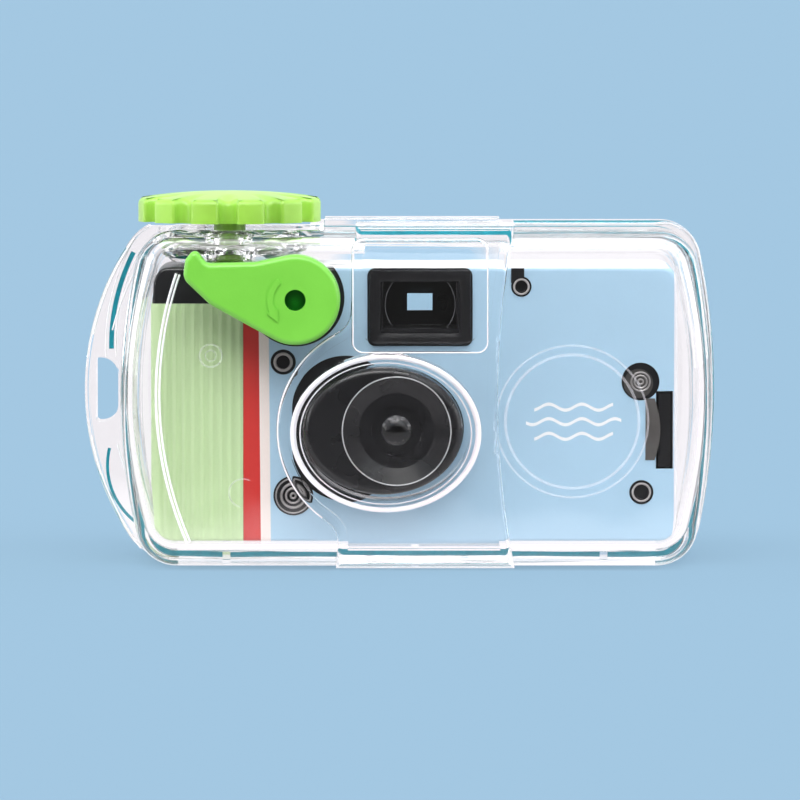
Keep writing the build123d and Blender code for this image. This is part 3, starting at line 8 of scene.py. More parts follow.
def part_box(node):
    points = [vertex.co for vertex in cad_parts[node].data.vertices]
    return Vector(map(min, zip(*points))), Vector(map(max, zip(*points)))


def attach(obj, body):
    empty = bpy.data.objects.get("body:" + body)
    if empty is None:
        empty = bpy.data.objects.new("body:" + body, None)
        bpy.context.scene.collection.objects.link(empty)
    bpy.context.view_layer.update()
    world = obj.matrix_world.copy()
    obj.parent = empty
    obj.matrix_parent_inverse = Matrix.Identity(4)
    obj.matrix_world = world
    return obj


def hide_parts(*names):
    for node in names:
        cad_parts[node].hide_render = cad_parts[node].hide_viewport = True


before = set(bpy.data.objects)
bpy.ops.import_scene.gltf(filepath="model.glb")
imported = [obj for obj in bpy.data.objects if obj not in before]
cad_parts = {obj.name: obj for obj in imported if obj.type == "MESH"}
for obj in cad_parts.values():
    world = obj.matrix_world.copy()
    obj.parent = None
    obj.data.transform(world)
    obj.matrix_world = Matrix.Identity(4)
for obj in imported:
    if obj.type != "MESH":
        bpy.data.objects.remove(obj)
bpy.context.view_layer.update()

# The studio. A seamless pale blue floor runs back past the top of the picture, and the camera is
# shot in an even white light tent, so the clear housing picks up white on all of its edges.
camera_reach = 1.5
camera_lift = radians(3.7)
picture_width = 0.1661
aim = Vector((0.0001, 0.0, 0.0332))
floor_reach = 60.0
backdrop_blue = (0.371, 0.578, 0.761)
paper_blue = (0.196, 0.302, 0.39)
floor_shadow = 0.35
# a painted shadow: the paper's colour is darkened right under the housing's foot
painted_shadow_sides = (-0.048, 0.054)
painted_shadow_depth = (-0.0245, 0.020)
painted_shadow_fades = (0.008, 0.004)
painted_shadow_strength = 0.3
# a dark cloth lies on the floor before the housing, so its flat front stays clear
dark_cloth_edge = (-0.22, -0.09)
# straight behind the viewfinder the plastic is lit by bare blue paper
blue_paper_edge = (0.25, 0.45)
blue_paper_sides = (-0.022, 0.034)
blue_paper_light = (0.50, 0.76, 0.99)
blue_paper_fade = 0.008
dark_cloth = (0.05, 0.05, 0.05)
white_bounce = (1.04, 1.01, 1.05)


class Value:
    """A shader socket that adds Math nodes when it is used in an expression."""

    def __init__(self, nodes, socket):
        self.nodes = nodes
        self.socket = socket

    def math(self, operation, *others):
        node = self.nodes.add("ShaderNodeMath", {"operation": operation}, {
            index: value for index, value in enumerate((self, *others))
        })
        return node["Value"]

    def __add__(self, other):
        return self.math("ADD", other)

    def __sub__(self, other):
        return self.math("SUBTRACT", other)

    def __mul__(self, other):
        return self.math("MULTIPLY", other)

    def __rsub__(self, other):
        flipped = self.math("MULTIPLY", -1.0)
        return flipped.math("ADD", other)

    __radd__ = __add__
    __rmul__ = __mul__

    def above(self, limit):
        return self.math("GREATER_THAN", limit)

    def below(self, limit):
        return self.math("LESS_THAN", limit)

    def lesser(self, other):
        return self.math("MINIMUM", other)

    def greater(self, other):
        return self.math("MAXIMUM", other)

    def size(self):
        return self.math("ABSOLUTE")

    def step(self, low, high):
        """0 at low, 1 at high and a smooth ramp between them."""
        node = self.nodes.add("ShaderNodeMapRange", {"interpolation_type": "SMOOTHSTEP"}, {
            "Value": self, "From Min": low, "From Max": high,
        })
        return node["Result"]

    def band(self, low, high, soft):
        """1 between low and high, with soft edges."""
        return self.step(low - soft, low + soft) * (1 - self.step(high - soft, high + soft))


class Nodes:
    """The node tree of one material, or of the light tent."""

    def __init__(self, tree):
        self.tree = tree
        tree.nodes.clear()

    def add(self, kind, settings, inputs):
        """Adds a node, sets its settings, then fills or links its sockets by name or number."""
        node = self.tree.nodes.new(kind)
        for name, value in settings.items():
            setattr(node, name, value)
        for name, value in inputs.items():
            socket = node.inputs[name]
            if isinstance(value, Value):
                self.tree.links.new(value.socket, socket)
            else:
                socket.default_value = value
        return Outputs(self, node)

    def place(self):
        """The point on the piece, in metres, as three values."""
        point = self.add("ShaderNodeTexCoord", {}, {})["Object"]
        parts = self.add("ShaderNodeSeparateXYZ", {}, {"Vector": point})
        return point, parts["X"], parts["Y"], parts["Z"]

    def noise(self, point, scale, detail=3.0, rough=0.55):
        node = self.add("ShaderNodeTexNoise", {}, {
            "Vector": point, "Scale": scale, "Detail": detail, "Roughness": rough,
        })
        return node["Fac"]

    def mix(self, share, first, second):
        """Two colours mixed: first where share is 0, second where it is 1."""
        node = self.add("ShaderNodeMix", {"data_type": "RGBA"}, {0: share})
        for index, colour in ((6, first), (7, second)):
            if isinstance(colour, Value):
                self.tree.links.new(colour.socket, node.node.inputs[index])
            else:
                node.node.inputs[index].default_value = (*colour, 1.0)
        return Value(self, node.node.outputs[2])

    def stretched(self, point, factors):
        """The point with each of its axes scaled."""
        node = self.add("ShaderNodeVectorMath", {"operation": "MULTIPLY"}, {0: point, 1: factors})
        return node["Vector"]

    def relief(self, height, depth, strength=1.0):
        node = self.add("ShaderNodeBump", {}, {
            "Height": height, "Distance": depth, "Strength": strength,
        })
        return node["Normal"]


class Outputs:
    """A node's outputs, each as a Value."""

    def __init__(self, nodes, node):
        self.nodes = nodes
        self.node = node

    def __getitem__(self, name):
        return Value(self.nodes, self.node.outputs[name])


def floor_finish():
    """Pale blue to the camera, and white to the light that the clear plastic gathers."""
    material = bpy.data.materials.new("floor_paper")
    material.use_nodes = True
    nodes = Nodes(material.node_tree)
    point, across, forward, up = nodes.place()
    # painted shadow: within the housing's footprint the paper's colour is mixed towards black
    foot = across.band(*painted_shadow_sides, painted_shadow_fades[0]) * forward.band(*painted_shadow_depth, painted_shadow_fades[1])
    even = nodes.mix(foot * painted_shadow_strength, backdrop_blue, (0.0, 0.0, 0.0))
    lit = nodes.add("ShaderNodeEmission", {}, {"Color": even, "Strength": 1.0})
    shaded = nodes.add("ShaderNodeBsdfDiffuse", {}, {"Color": (*paper_blue, 1.0)})
    paper = nodes.add("ShaderNodeMixShader", {}, {0: floor_shadow, 1: lit["Emission"], 2: shaded["BSDF"]})
    bounce = nodes.mix(forward.step(*dark_cloth_edge), dark_cloth, white_bounce)
    behind = forward.step(*blue_paper_edge) * across.band(*blue_paper_sides, blue_paper_fade)
    bounce = nodes.mix(behind, bounce, blue_paper_light)
    tent = nodes.add("ShaderNodeEmission", {}, {"Color": bounce, "Strength": 1.0})
    seen = nodes.add("ShaderNodeLightPath", {}, {})["Is Camera Ray"]
    both = nodes.add("ShaderNodeMixShader", {}, {0: seen, 1: tent["Emission"], 2: paper["Shader"]})
    nodes.add("ShaderNodeOutputMaterial", {}, {"Surface": both["Shader"]})
    return material


floor_mesh = bmesh.new()
bmesh.ops.create_grid(floor_mesh, x_segments=4, y_segments=4, size=floor_reach)
floor_data = bpy.data.meshes.new("studio_floor")
floor_mesh.to_mesh(floor_data)
floor_mesh.free()
floor = bpy.data.objects.new("studio_floor", floor_data)
bpy.context.scene.collection.objects.link(floor)
floor_data.materials.append(floor_finish())

tent = bpy.data.worlds.new("light_tent")
tent.use_nodes = True
bpy.context.scene.world = tent
tent_nodes = Nodes(tent.node_tree)
toward = tent_nodes.add("ShaderNodeTexCoord", {}, {})["Generated"]
heading = tent_nodes.add("ShaderNodeSeparateXYZ", {}, {"Vector": toward})
# the walls are white overhead and cooler low down, with pale blue and pale pink panels that the
# thick plastic breaks up into its facets
wall_low, wall_high = (1.02, 1.0, 1.05), (1.13, 1.11, 1.13)
panel_blue, panel_pink = (0.47, 0.70, 0.88), (0.95, 0.82, 0.86)
panel_fade = 0.03
tent_colour = tent_nodes.mix(heading["Z"].step(-0.2, 0.9), wall_low, wall_high)
side = heading["X"].size()
blue_panels = side.band(0.30, 0.44, panel_fade) + heading["Z"].band(0.42, 0.54, panel_fade)
tent_colour = tent_nodes.mix(blue_panels.lesser(1.0) * 0.75, tent_colour, panel_blue)
pink_panels = side.band(0.56, 0.64, panel_fade)
tent_colour = tent_nodes.mix(pink_panels * 0.6, tent_colour, panel_pink)
# the dark cloth hangs round the camera
cloth = (heading["Y"] * -1.0).step(0.72, 0.86)
tent_colour = tent_nodes.mix(cloth, tent_colour, (0.03, 0.03, 0.03))
# bright strip boxes stand at both sides and one hangs over the front
strip_light = (5.0, 5.0, 5.1)
strips = side.band(0.82, 0.93, 0.02) * heading["Z"].band(-0.30, 0.45, 0.05)
strips = strips + heading["Z"].band(0.74, 0.88, 0.02) * heading["Y"].band(-0.62, -0.25, 0.03)
tent_colour = tent_nodes.mix(strips.lesser(1.0), tent_colour, strip_light)
tent_seen = tent_nodes.add("ShaderNodeLightPath", {}, {})["Is Camera Ray"]
tent_white = tent_nodes.add("ShaderNodeBackground", {}, {"Color": tent_colour, "Strength": 1.0})
tent_blue = tent_nodes.add("ShaderNodeBackground", {}, {
    "Color": (*backdrop_blue, 1.0), "Strength": 1.0,
})
tent_both = tent_nodes.add("ShaderNodeMixShader", {}, {
    0: tent_seen, 1: tent_white["Background"], 2: tent_blue["Background"],
})
tent_nodes.add("ShaderNodeOutputWorld", {}, {"Surface": tent_both["Shader"]})


def add_lamp(name, azimuth, elevation, strength, spread, colour):
    """A large soft lamp far away, so its light is even over the whole floor."""
    lamp = bpy.data.lights.new(name, "SUN")
    lamp.energy = strength
    lamp.angle = radians(spread)
    lamp.color = colour
    holder = bpy.data.objects.new(name, lamp)
    bpy.context.scene.collection.objects.link(holder)
    turn = radians(azimuth)
    rise = radians(elevation)
    source = Vector((sin(turn) * cos(rise), -cos(turn) * cos(rise), sin(rise)))
    holder.rotation_mode = "QUATERNION"
    holder.rotation_quaternion = source.to_track_quat("Z", "Y")


add_lamp("softbox_left", -18, 54, 1.25, 40, (1.0, 0.99, 0.98))
add_lamp("softbox_right", 20, 44, 0.7, 50, (0.98, 0.99, 1.0))

eye = bpy.data.cameras.new("view_front")
eye.sensor_width = 36.0
eye.lens = eye.sensor_width * camera_reach / picture_width
eye.clip_end = 200.0
stand = bpy.data.objects.new("view_front", eye)
bpy.context.scene.collection.objects.link(stand)
stand.location = aim + camera_reach * Vector((0.0, -cos(camera_lift), sin(camera_lift)))
stand.rotation_mode = "QUATERNION"
stand.rotation_quaternion = (aim - stand.location).to_track_quat("-Z", "Y")
bpy.context.scene.camera = stand

scene = bpy.context.scene
scene.view_settings.view_transform = "Standard"
scene.view_settings.look = "None"
scene.cycles.max_bounces = 24
scene.cycles.transmission_bounces = 24
scene.cycles.glossy_bounces = 16
scene.cycles.transparent_max_bounces = 32
scene.cycles.caustics_reflective = False


# The film train: a 35 mm cartridge in a steel can with pressed end caps, its spool, the film, and
# the supply roll on its own spool. It lies loose in the main frame, behind the black covers.
cloud_scale = 85.0
plastic_grain = 2400.0
grain_depth = 0.00002


def new_finish(name):
    """An empty material with this name, and its nodes."""
    material = bpy.data.materials.new(name)
    material.use_nodes = True
    return material, Nodes(material.node_tree)


def shine(nodes, colour, rough, normal=None, metallic=0.0, alpha=1.0):
    """The one shader of a piece that isn't clear all through."""
    inputs = {"Roughness": rough, "Metallic": metallic, "Alpha": alpha}
    inputs["Base Color"] = colour if isinstance(colour, Value) else (*colour, 1.0)
    if normal is not None:
        inputs["Normal"] = normal
    shader = nodes.add("ShaderNodeBsdfPrincipled", {}, inputs)
    nodes.add("ShaderNodeOutputMaterial", {}, {"Surface": shader["BSDF"]})


def shade_of(colour, strength):
    return tuple(min(1.0, channel * strength) for channel in colour)


def plastic_grain_of(nodes, point):
    """The fine eroded grain of a mould."""
    return nodes.relief(nodes.noise(point, plastic_grain, 2.0), grain_depth)


def moulded_plastic(name, colour, rough):
    """Injection moulded plastic: a fine eroded grain, with faint clouds in colour and gloss."""
    material, nodes = new_finish(name)
    point = nodes.place()[0]
    cloud = nodes.noise(point, cloud_scale)
    tint = nodes.mix(cloud.step(0.3, 0.7), shade_of(colour, 0.88), shade_of(colour, 1.1))
    shine(nodes, tint, (cloud - 0.5) * 0.15 + rough, plastic_grain_of(nodes, point))
    return material


def drawn_metal(name, colour, rough):
    """Sheet or turned metal: fine drawing lines along one way, and patches of duller skin."""
    material, nodes = new_finish(name)
    point, across, depth, up = nodes.place()
    lines = nodes.noise(nodes.stretched(point, (1.0, 1.0, 0.03)), 5200.0, 2.0)
    patch = nodes.noise(point, 140.0)
    tint = nodes.mix(patch.step(0.35, 0.7), shade_of(colour, 0.8), colour)
    shine(nodes, tint, lines * 0.15 + rough, nodes.relief(lines, 0.00001), metallic=1.0)
    return material


def dress(material, *names):
    """Gives CAD nodes this material."""
    for name in names:
        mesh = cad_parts[name].data
        mesh.materials.clear()
        mesh.materials.append(material)


def film_finish():
    """Grey-brown acetate, fairly glossy, with faint clouds in its colour and gloss."""
    material, nodes = new_finish("film_base")
    point, across, depth, up = nodes.place()
    cloud = nodes.noise(point, 60.0)
    tint = nodes.mix(cloud, (0.045, 0.032, 0.028), (0.075, 0.050, 0.040))
    shine(nodes, tint, cloud * 0.1 + 0.22, nodes.relief(cloud, 0.00003))
    return material


dress(drawn_metal("can_metal", (0.62, 0.62, 0.60), 0.3), "cartridge_can")
dress(drawn_metal("cap_metal", (0.50, 0.51, 0.53), 0.35), "cartridge_caps")
dress(film_finish(), "film_strip", "film_roll")

# The main frame, spools and the small moving pieces of the shutter. They are moulded in black
# plastic, apart from blued steel for the shutter plate and blade and bright steel for the springs.
inner_black = moulded_plastic("inner_black", (0.010, 0.010, 0.011), 0.45)
dress(inner_black, "main_frame", "cartridge_spool", "supply_spool", "thumbwheel", "release_arm")
dress(inner_black, "release_slide", "click_pawl")
blued_steel = drawn_metal("dark_metal", (0.09, 0.09, 0.10), 0.4)
dress(blued_steel, "shutter_plate", "shutter_blade", "winding_clip")
bright_steel = drawn_metal("spring_steel", (0.66, 0.66, 0.68), 0.25)
dress(bright_steel, "shutter_spring", "release_leaf", "lever_spring")
dress(moulded_plastic("sprocket_white", (0.72, 0.72, 0.70), 0.4), "film_sprocket")

# The frame counter: a white plastic disc under the top deck, printed in black with a tick for each
# frame. It turns on a pin that is moulded with the main frame.
counter_centre = (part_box("counter_disc")[0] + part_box("counter_disc")[1]) / 2
counter_ticks = 30
tick_half = 0.12
tick_inner = 0.0042


def counter_finish():
    material, nodes = new_finish("counter_print")
    point, across, depth, up = nodes.place()
    right = across - counter_centre.x
    back = depth - counter_centre.y
    turn = right.math("ARCTAN2", back) * (counter_ticks / (2 * pi))
    beat = (turn.math("FRACT") - 0.5).size()
    reach = (right * right + back * back).math("SQRT")
    tick = beat.below(tick_half) * reach.above(tick_inner)
    cloud = nodes.noise(point, 220.0)
    card = nodes.mix(cloud, (0.78, 0.78, 0.76), (0.86, 0.86, 0.85))
    shine(nodes, nodes.mix(tick, card, (0.03, 0.03, 0.03)), cloud * 0.1 + 0.4)
    return material


dress(counter_finish(), "counter_disc")

# The viewfinder: a black moulded frame round a square tunnel, with a clear lens in front, a mask
# and an eyepiece lens behind. They snap into the covers.
def optic_plastic(name, tint):
    """Clear lens plastic, which lets the light of the lamps through."""
    material, nodes = new_finish(name)
    shader = nodes.add("ShaderNodeBsdfPrincipled", {}, {
        "Base Color": (*tint, 1.0), "Roughness": 0.0, "IOR": 1.49, "Transmission Weight": 1.0,
    })
    shade = nodes.add("ShaderNodeBsdfTransparent", {}, {"Color": (0.97, 0.97, 0.98, 1.0)})
    shadow = nodes.add("ShaderNodeLightPath", {}, {})["Is Shadow Ray"]
    both = nodes.add("ShaderNodeMixShader", {}, {0: shadow, 1: shader["BSDF"], 2: shade["BSDF"]})
    nodes.add("ShaderNodeOutputMaterial", {}, {"Surface": both["Shader"]})
    return material


finder_black = moulded_plastic("finder_black", (0.007, 0.007, 0.008), 0.3)
dress(finder_black, "finder_frame", "finder_mask")
dress(optic_plastic("lens_clear", (0.98, 0.99, 0.985)), "finder_lens", "eyepiece_lens", "rear_lens")


def lay_ring(mesh, x, y, z, radius, wire, start=0.0, turn=2 * pi, steps=48):
    """A round wire bent about a line that points forward, whole or as an arc."""
    section = bmesh.ops.create_circle(mesh, segments=8, radius=wire)["verts"]
    bmesh.ops.translate(mesh, vec=(radius, 0.0, 0.0), verts=section)
    bmesh.ops.rotate(mesh, cent=(0.0, 0.0, 0.0), matrix=Matrix.Rotation(-start, 3, "Y"), verts=section)
    bmesh.ops.translate(mesh, vec=(x, y, z), verts=section)
    rim = list({edge for vert in section for edge in vert.link_edges})
    whole = turn == 2 * pi
    swept = bmesh.ops.spin(
        mesh, geom=rim, cent=(x, y, z), axis=(0.0, -1.0, 0.0), angle=turn, steps=steps, use_merge=whole
    )
    if not whole:
        last = [part for part in swept["geom_last"] if isinstance(part, bmesh.types.BMEdge)]
        bmesh.ops.edgeloop_fill(mesh, edges=rim)
        bmesh.ops.edgeloop_fill(mesh, edges=last)


def add_piece(name, mesh, material, crease=40):
    """Makes an object of a bmesh, smooth apart from edges sharper than crease degrees."""
    bmesh.ops.recalc_face_normals(mesh, faces=mesh.faces[:])
    data = bpy.data.meshes.new(name)
    mesh.to_mesh(data)
    mesh.free()
    data.shade_smooth()
    data.set_sharp_from_angle(angle=radians(crease))
    data.materials.append(material)
    piece = bpy.data.objects.new(name, data)
    bpy.context.scene.collection.objects.link(piece)
    return piece


def carve_bezel():
    """A flat frame with rounded lower corners, whose inner border slopes down to the window."""
    mesh = bmesh.new()
    bmesh.ops.create_cube(mesh, size=1.0)
    spread = bezel_high - bezel_low
    bmesh.ops.scale(mesh, vec=spread, verts=mesh.verts[:])
    bmesh.ops.translate(mesh, vec=(bezel_high + bezel_low) / 2, verts=mesh.verts[:])
    upright = spread.y / 2
    middle_height = (bezel_low.z + bezel_high.z) / 2
    low_corners = [
        edge for edge in mesh.edges
        if abs((edge.verts[0].co - edge.verts[1].co).y) > upright and edge.verts[0].co.z < middle_height
    ]
    bmesh.ops.bevel(
        mesh, geom=low_corners, offset=bezel_corner, affect="EDGES", segments=6, profile=0.5, material=-1
    )
    front = [face for face in mesh.faces if face.normal.y < -0.9]
    back = [face for face in mesh.faces if face.normal.y > 0.9]
    bmesh.ops.inset_region(mesh, faces=front, thickness=bezel_flat, use_even_offset=True)
    bmesh.ops.inset_region(
        mesh, faces=front, thickness=bezel_slope, depth=-bezel_drop, use_even_offset=True
    )
    bmesh.ops.inset_region(mesh, faces=back, thickness=bezel_flat + bezel_slope, use_even_offset=True)
    bmesh.ops.delete(mesh, geom=front + back, context="FACES")
    rims = [edge for edge in mesh.edges if edge.is_boundary]
    bmesh.ops.bridge_loops(mesh, edges=rims)
    sharp = [edge for edge in mesh.edges if edge.calc_face_angle(0.0) > radians(50)]
    bmesh.ops.bevel(
        mesh, geom=sharp, offset=bezel_edge, affect="EDGES", segments=2, profile=0.5, material=-1
    )
    return mesh


bezel_low = Vector((-0.0062, -0.01545, 0.0457))
bezel_high = Vector((0.0146, -0.01488, 0.0609))
bezel_corner = 0.0017
bezel_flat = 0.0009
bezel_slope = 0.0014
bezel_drop = 0.00038
bezel_edge = 0.00015
bezel_black = moulded_plastic("bezel_black", (0.012, 0.012, 0.013), 0.22)
bezel = add_piece("finder_bezel", carve_bezel(), bezel_black)
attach(bezel, "housing")

# the round rim of the finder's lens shows as two grey arcs at the sides of the window, its reflection
# painted in grey
finder_place = (0.00425, -0.0140, 0.0538)
finder_rim_radius = 0.0072
finder_rim_wire = 0.00008
finder_rim_reach = radians(80)
mesh = bmesh.new()
for middle in (0.0, pi):
    first = middle - finder_rim_reach / 2
    lay_ring(mesh, *finder_place, finder_rim_radius, finder_rim_wire, start=first, turn=finder_rim_reach)
arcs = add_piece("finder_lens_rim", mesh, moulded_plastic("lens_rim_reflection", (0.16, 0.16, 0.17), 0.25))
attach(arcs, "housing")

# The covers: two black moulded halves that hold the frame, with hollow locating posts that show in
# the cut-outs of the label, and a latch tongue in the slot at the right.
cover_black = moulded_plastic("cover_black", (0.008, 0.008, 0.009), 0.3)
dress(cover_black, "side_latch")
# white card covers the end wall, from here on to the right
cover_end = 0.0562


def cover_finish():
    """Black plastic, with white card glued on the end wall."""
    material, nodes = new_finish("cover_carded")
    point, across, depth, up = nodes.place()
    cloud = nodes.noise(point, cloud_scale)
    plastic = nodes.mix(cloud.step(0.3, 0.7), (0.007, 0.007, 0.008), (0.009, 0.009, 0.010))
    card = nodes.mix(cloud.step(0.3, 0.7), (0.86, 0.85, 0.88), (0.92, 0.91, 0.93))
    skin = nodes.mix(across.above(cover_end), plastic, card)
    shine(nodes, skin, (cloud - 0.5) * 0.15 + 0.3, plastic_grain_of(nodes, point))
    return material


dress(cover_finish(), "front_cover", "rear_cover")

# The rings and screws on the posts: turned rims of bright or dark plastic that show as circles in
# the label's cut-outs. They are pressed into the posts of the front cover.
post_face = -0.01464
pin_rings = (
    (-0.02391, 0.04199, 0.00170, 0.00030),
    (0.02502, 0.05749, 0.00150, 0.00022),
    (0.04975, 0.01516, 0.00180, 0.00022),
)
screw_rings = (
    (-0.02186, 0.01448, 0.00355, 0.00016),
    (-0.02186, 0.01448, 0.00245, 0.00030),
    (-0.02186, 0.01448, 0.00150, 0.00026),
    (-0.02186, 0.01448, 0.00052, 0.00024),
    (0.04953, 0.03797, 0.00190, 0.00024),
    (0.04953, 0.03797, 0.00128, 0.00022),
    (0.04953, 0.03797, 0.00050, 0.00022),
)


for name, rings, skin in (
    ("pin_rims", pin_rings, moulded_plastic("pin_rim", (0.42, 0.39, 0.38), 0.3)),
    ("screw_rims", screw_rings, drawn_metal("screw_steel", (0.42, 0.40, 0.39), 0.35)),
):
    mesh = bmesh.new()
    for x, z, radius, wire in rings:
        lay_ring(mesh, x, post_face, z, radius, wire)
    rims = add_piece(name, mesh, skin)
    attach(rims, "housing")

# a notch in the label's top edge bares the cover above one post, and a steel disc sits on another
notch = ((0.0229, -0.01470, 0.0583), (0.0256, -0.01460, 0.0613))
disc_place = Vector((0.0491, -0.01466, 0.0376))
disc_radius = 0.0030
disc_sheet = 0.0001
mesh = bmesh.new()
corners = bmesh.ops.create_cube(mesh, size=1.0)["verts"]
low, high = Vector(notch[0]), Vector(notch[1])
bmesh.ops.scale(mesh, vec=high - low, verts=corners)
bmesh.ops.translate(mesh, vec=(low + high) / 2, verts=corners)
bared = add_piece("label_notch", mesh, cover_black)
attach(bared, "housing")

mesh = bmesh.new()
bmesh.ops.create_cone(
    mesh, cap_ends=True, segments=48, radius1=disc_radius, radius2=disc_radius, depth=disc_sheet,
    matrix=Matrix.Translation(disc_place) @ Matrix.Rotation(pi / 2, 4, "X"),
)
disc = add_piece("latch_disc", mesh, drawn_metal("disc_steel", (0.13, 0.125, 0.12), 0.4))
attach(disc, "housing")

# the side latch's spring tail hangs beside its slot, a bent leaf of dull steel
tail_top = Vector((0.05055, -0.01436, 0.0345))
tail_length = 0.0127
tail_neck = 0.0019
tail_belly = 0.0012
tail_sheet = 0.00012


def carve_tail():
    mesh = bmesh.new()
    bmesh.ops.create_grid(mesh, x_segments=3, y_segments=14, size=0.5)
    for vert in mesh.verts:
        across = vert.co.x + 0.5
        down = 0.5 - vert.co.y
        width = tail_neck + tail_belly * sin(pi * down)
        vert.co = tail_top + Vector((across * width, 0.0, -down * tail_length))
    sheet = bmesh.ops.extrude_face_region(mesh, geom=mesh.faces[:], use_keep_orig=True)["geom"]
    raised = [part for part in sheet if isinstance(part, bmesh.types.BMVert)]
    bmesh.ops.translate(mesh, vec=(0.0, -tail_sheet, 0.0), verts=raised)
    return mesh


tail = add_piece("latch_tail", carve_tail(), drawn_metal("tail_steel", (0.20, 0.19, 0.18), 0.35))
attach(tail, "housing")

# The wrap label: printed card round the covers, pale blue with a red and a cream stripe beside the
# grip. Its front carries plain white wave lines.
print_blue = (0.432, 0.644, 0.808)
print_cream = (0.95, 0.845, 0.795)
print_red = (0.64, 0.030, 0.024)
print_white = (0.93, 0.94, 0.95)
bare_card = (0.95, 0.95, 0.96)
card_fibre = 1500.0
cream_left = -0.02896
cream_right = -0.0269
stripe_lean = 0.0088
stripe_top = 0.054
wave_middle = Vector((0.0358, 0.0, 0.0297))
wave_length = 0.0068
wave_height = 0.00062
wave_pitch = 0.0030
wave_half = 0.0098
wave_pen = 0.00034
white_edge = 0.06125


def wrap_finish():
    material, nodes = new_finish("wrap_print")
    point, across, depth, up = nodes.place()
    fibre = nodes.noise(point, card_fibre)
    cloud = nodes.noise(point, 45.0)
    lean = up * stripe_lean + (across - stripe_top * stripe_lean)
    paper = nodes.mix(cloud.step(0.3, 0.7), shade_of(print_blue, 0.985), shade_of(print_blue, 1.012))
    paper = nodes.mix(lean.below(cream_right), paper, print_cream)
    paper = nodes.mix(lean.below(cream_left), paper, print_red)
    swing = ((across - wave_middle.x) * (2 * pi / wave_length)).math("SINE") * wave_height
    from_middle = (across - wave_middle.x).size()
    ink = 0.0
    for row in (-1, 0, 1):
        line = (up - swing - (wave_middle.z + row * wave_pitch)).size()
        span = wave_half - abs(row) * wave_length / 4
        ink = line.below(wave_pen) * from_middle.below(span) + ink
    paper = nodes.mix(ink * depth.below(0.0), paper, print_white)
    paper = nodes.mix(up.above(white_edge), paper, bare_card)
    shine(nodes, paper, fibre * 0.12 + 0.38, nodes.relief(fibre, 0.000012))
    return material


dress(wrap_finish(), "label_wrap")

# The grip label: green printed card, glued over the cartridge end of the covers. Its front is
# pressed into narrow upright ribs, with painted shade in the grooves between them.
print_green = (0.60, 0.79, 0.44)
rib_pitch = 0.00187
grip_left = -0.0495
# the ribs are on the front alone
grip_front = -0.0138


def grip_finish():
    material, nodes = new_finish("grip_print")
    point, across, depth, up = nodes.place()
    fibre = nodes.noise(point, card_fibre)
    beat = ((across - grip_left) * (2 * pi / rib_pitch)).math("COSINE") * 0.5 + 0.5
    front = depth.below(grip_front)
    # painted shade: the grooves between the ribs are coloured darker
    painted_groove_shade = (1 - beat) * front
    paper = nodes.mix(painted_groove_shade, shade_of(print_green, 1.01), shade_of(print_green, 0.965))
    shine(nodes, paper, fibre * 0.1 + 0.42, nodes.relief(beat * front * 8.0 + fibre * 0.3, 0.00002))
    return material


dress(grip_finish(), "grip_label")

# The lens: a small moulded front lens under a black retaining ring, in an oval black surround that
# fills the housing's port.
surround_black = moulded_plastic("surround_black", (0.007, 0.007, 0.008), 0.27)
dress(surround_black, "lens_surround", "lens_ring")
dress(optic_plastic("lens_glass", (0.96, 0.97, 1.0)), "front_lens")

# a thin bright line marks the mouth of the lens funnel
funnel_place = (-0.0006, -0.02252, 0.0283)
funnel_radius = 0.0111
funnel_wire = 0.00013
mesh = bmesh.new()
lay_ring(mesh, *funnel_place, funnel_radius, funnel_wire, steps=96)
mouth_line = add_piece("funnel_line", mesh, moulded_plastic("funnel_line", (0.55, 0.55, 0.56), 0.3))
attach(mouth_line, "housing")

# The housing: a front and a rear shell, both injection moulded in clear polycarbonate. They are
# welded together at the rim for good, with the gasket between them.
port_middle = (-0.0028, 0.0283)
port_reach = (0.0195, 0.0161)
port_edge = (0.945, 1.01)
port_fade = 0.006
port_start = -0.0285
edge_bloom = 0.03
port_bloom = 0.25
rounded = (0.80, 0.985)
wave_scale = 55.0
wave_depth = 0.00025


def housing_finish():
    """Clear plastic with slight waves, and a faint matt bloom on rounded edges and narrow walls."""
    material, nodes = new_finish("clear_plastic")
    point, across, depth, up = nodes.place()
    waves = nodes.noise(point, wave_scale, 1.0)
    facing = nodes.add("ShaderNodeNewGeometry", {}, {})["True Normal"]
    facing = nodes.add("ShaderNodeSeparateXYZ", {}, {"Vector": facing})["Y"].size()
    bloom = (1 - facing.step(*rounded)) * edge_bloom
    right = (across - port_middle[0]) * (1.0 / port_reach[0])
    rise = (up - port_middle[1]) * (1.0 / port_reach[1])
    reach = (right * right + rise * rise).math("SQRT")
    port_band = reach.band(*port_edge, port_fade) * depth.below(port_start)
    matt = (port_band * port_bloom).greater(bloom)
    shader = nodes.add("ShaderNodeBsdfPrincipled", {}, {
        "Base Color": (0.997, 0.998, 1.0, 1.0), "Roughness": matt, "IOR": 1.55,
        "Transmission Weight": 1.0, "Normal": nodes.relief(waves, wave_depth),
    })
    shade = nodes.add("ShaderNodeBsdfTransparent", {}, {"Color": (0.975, 0.98, 0.985, 1.0)})
    shadow = nodes.add("ShaderNodeLightPath", {}, {})["Is Shadow Ray"]
    both = nodes.add("ShaderNodeMixShader", {}, {0: shadow, 1: shader["BSDF"], 2: shade["BSDF"]})
    nodes.add("ShaderNodeOutputMaterial", {}, {"Surface": both["Shader"]})
    return material


dress(housing_finish(), "front_shell", "rear_shell")
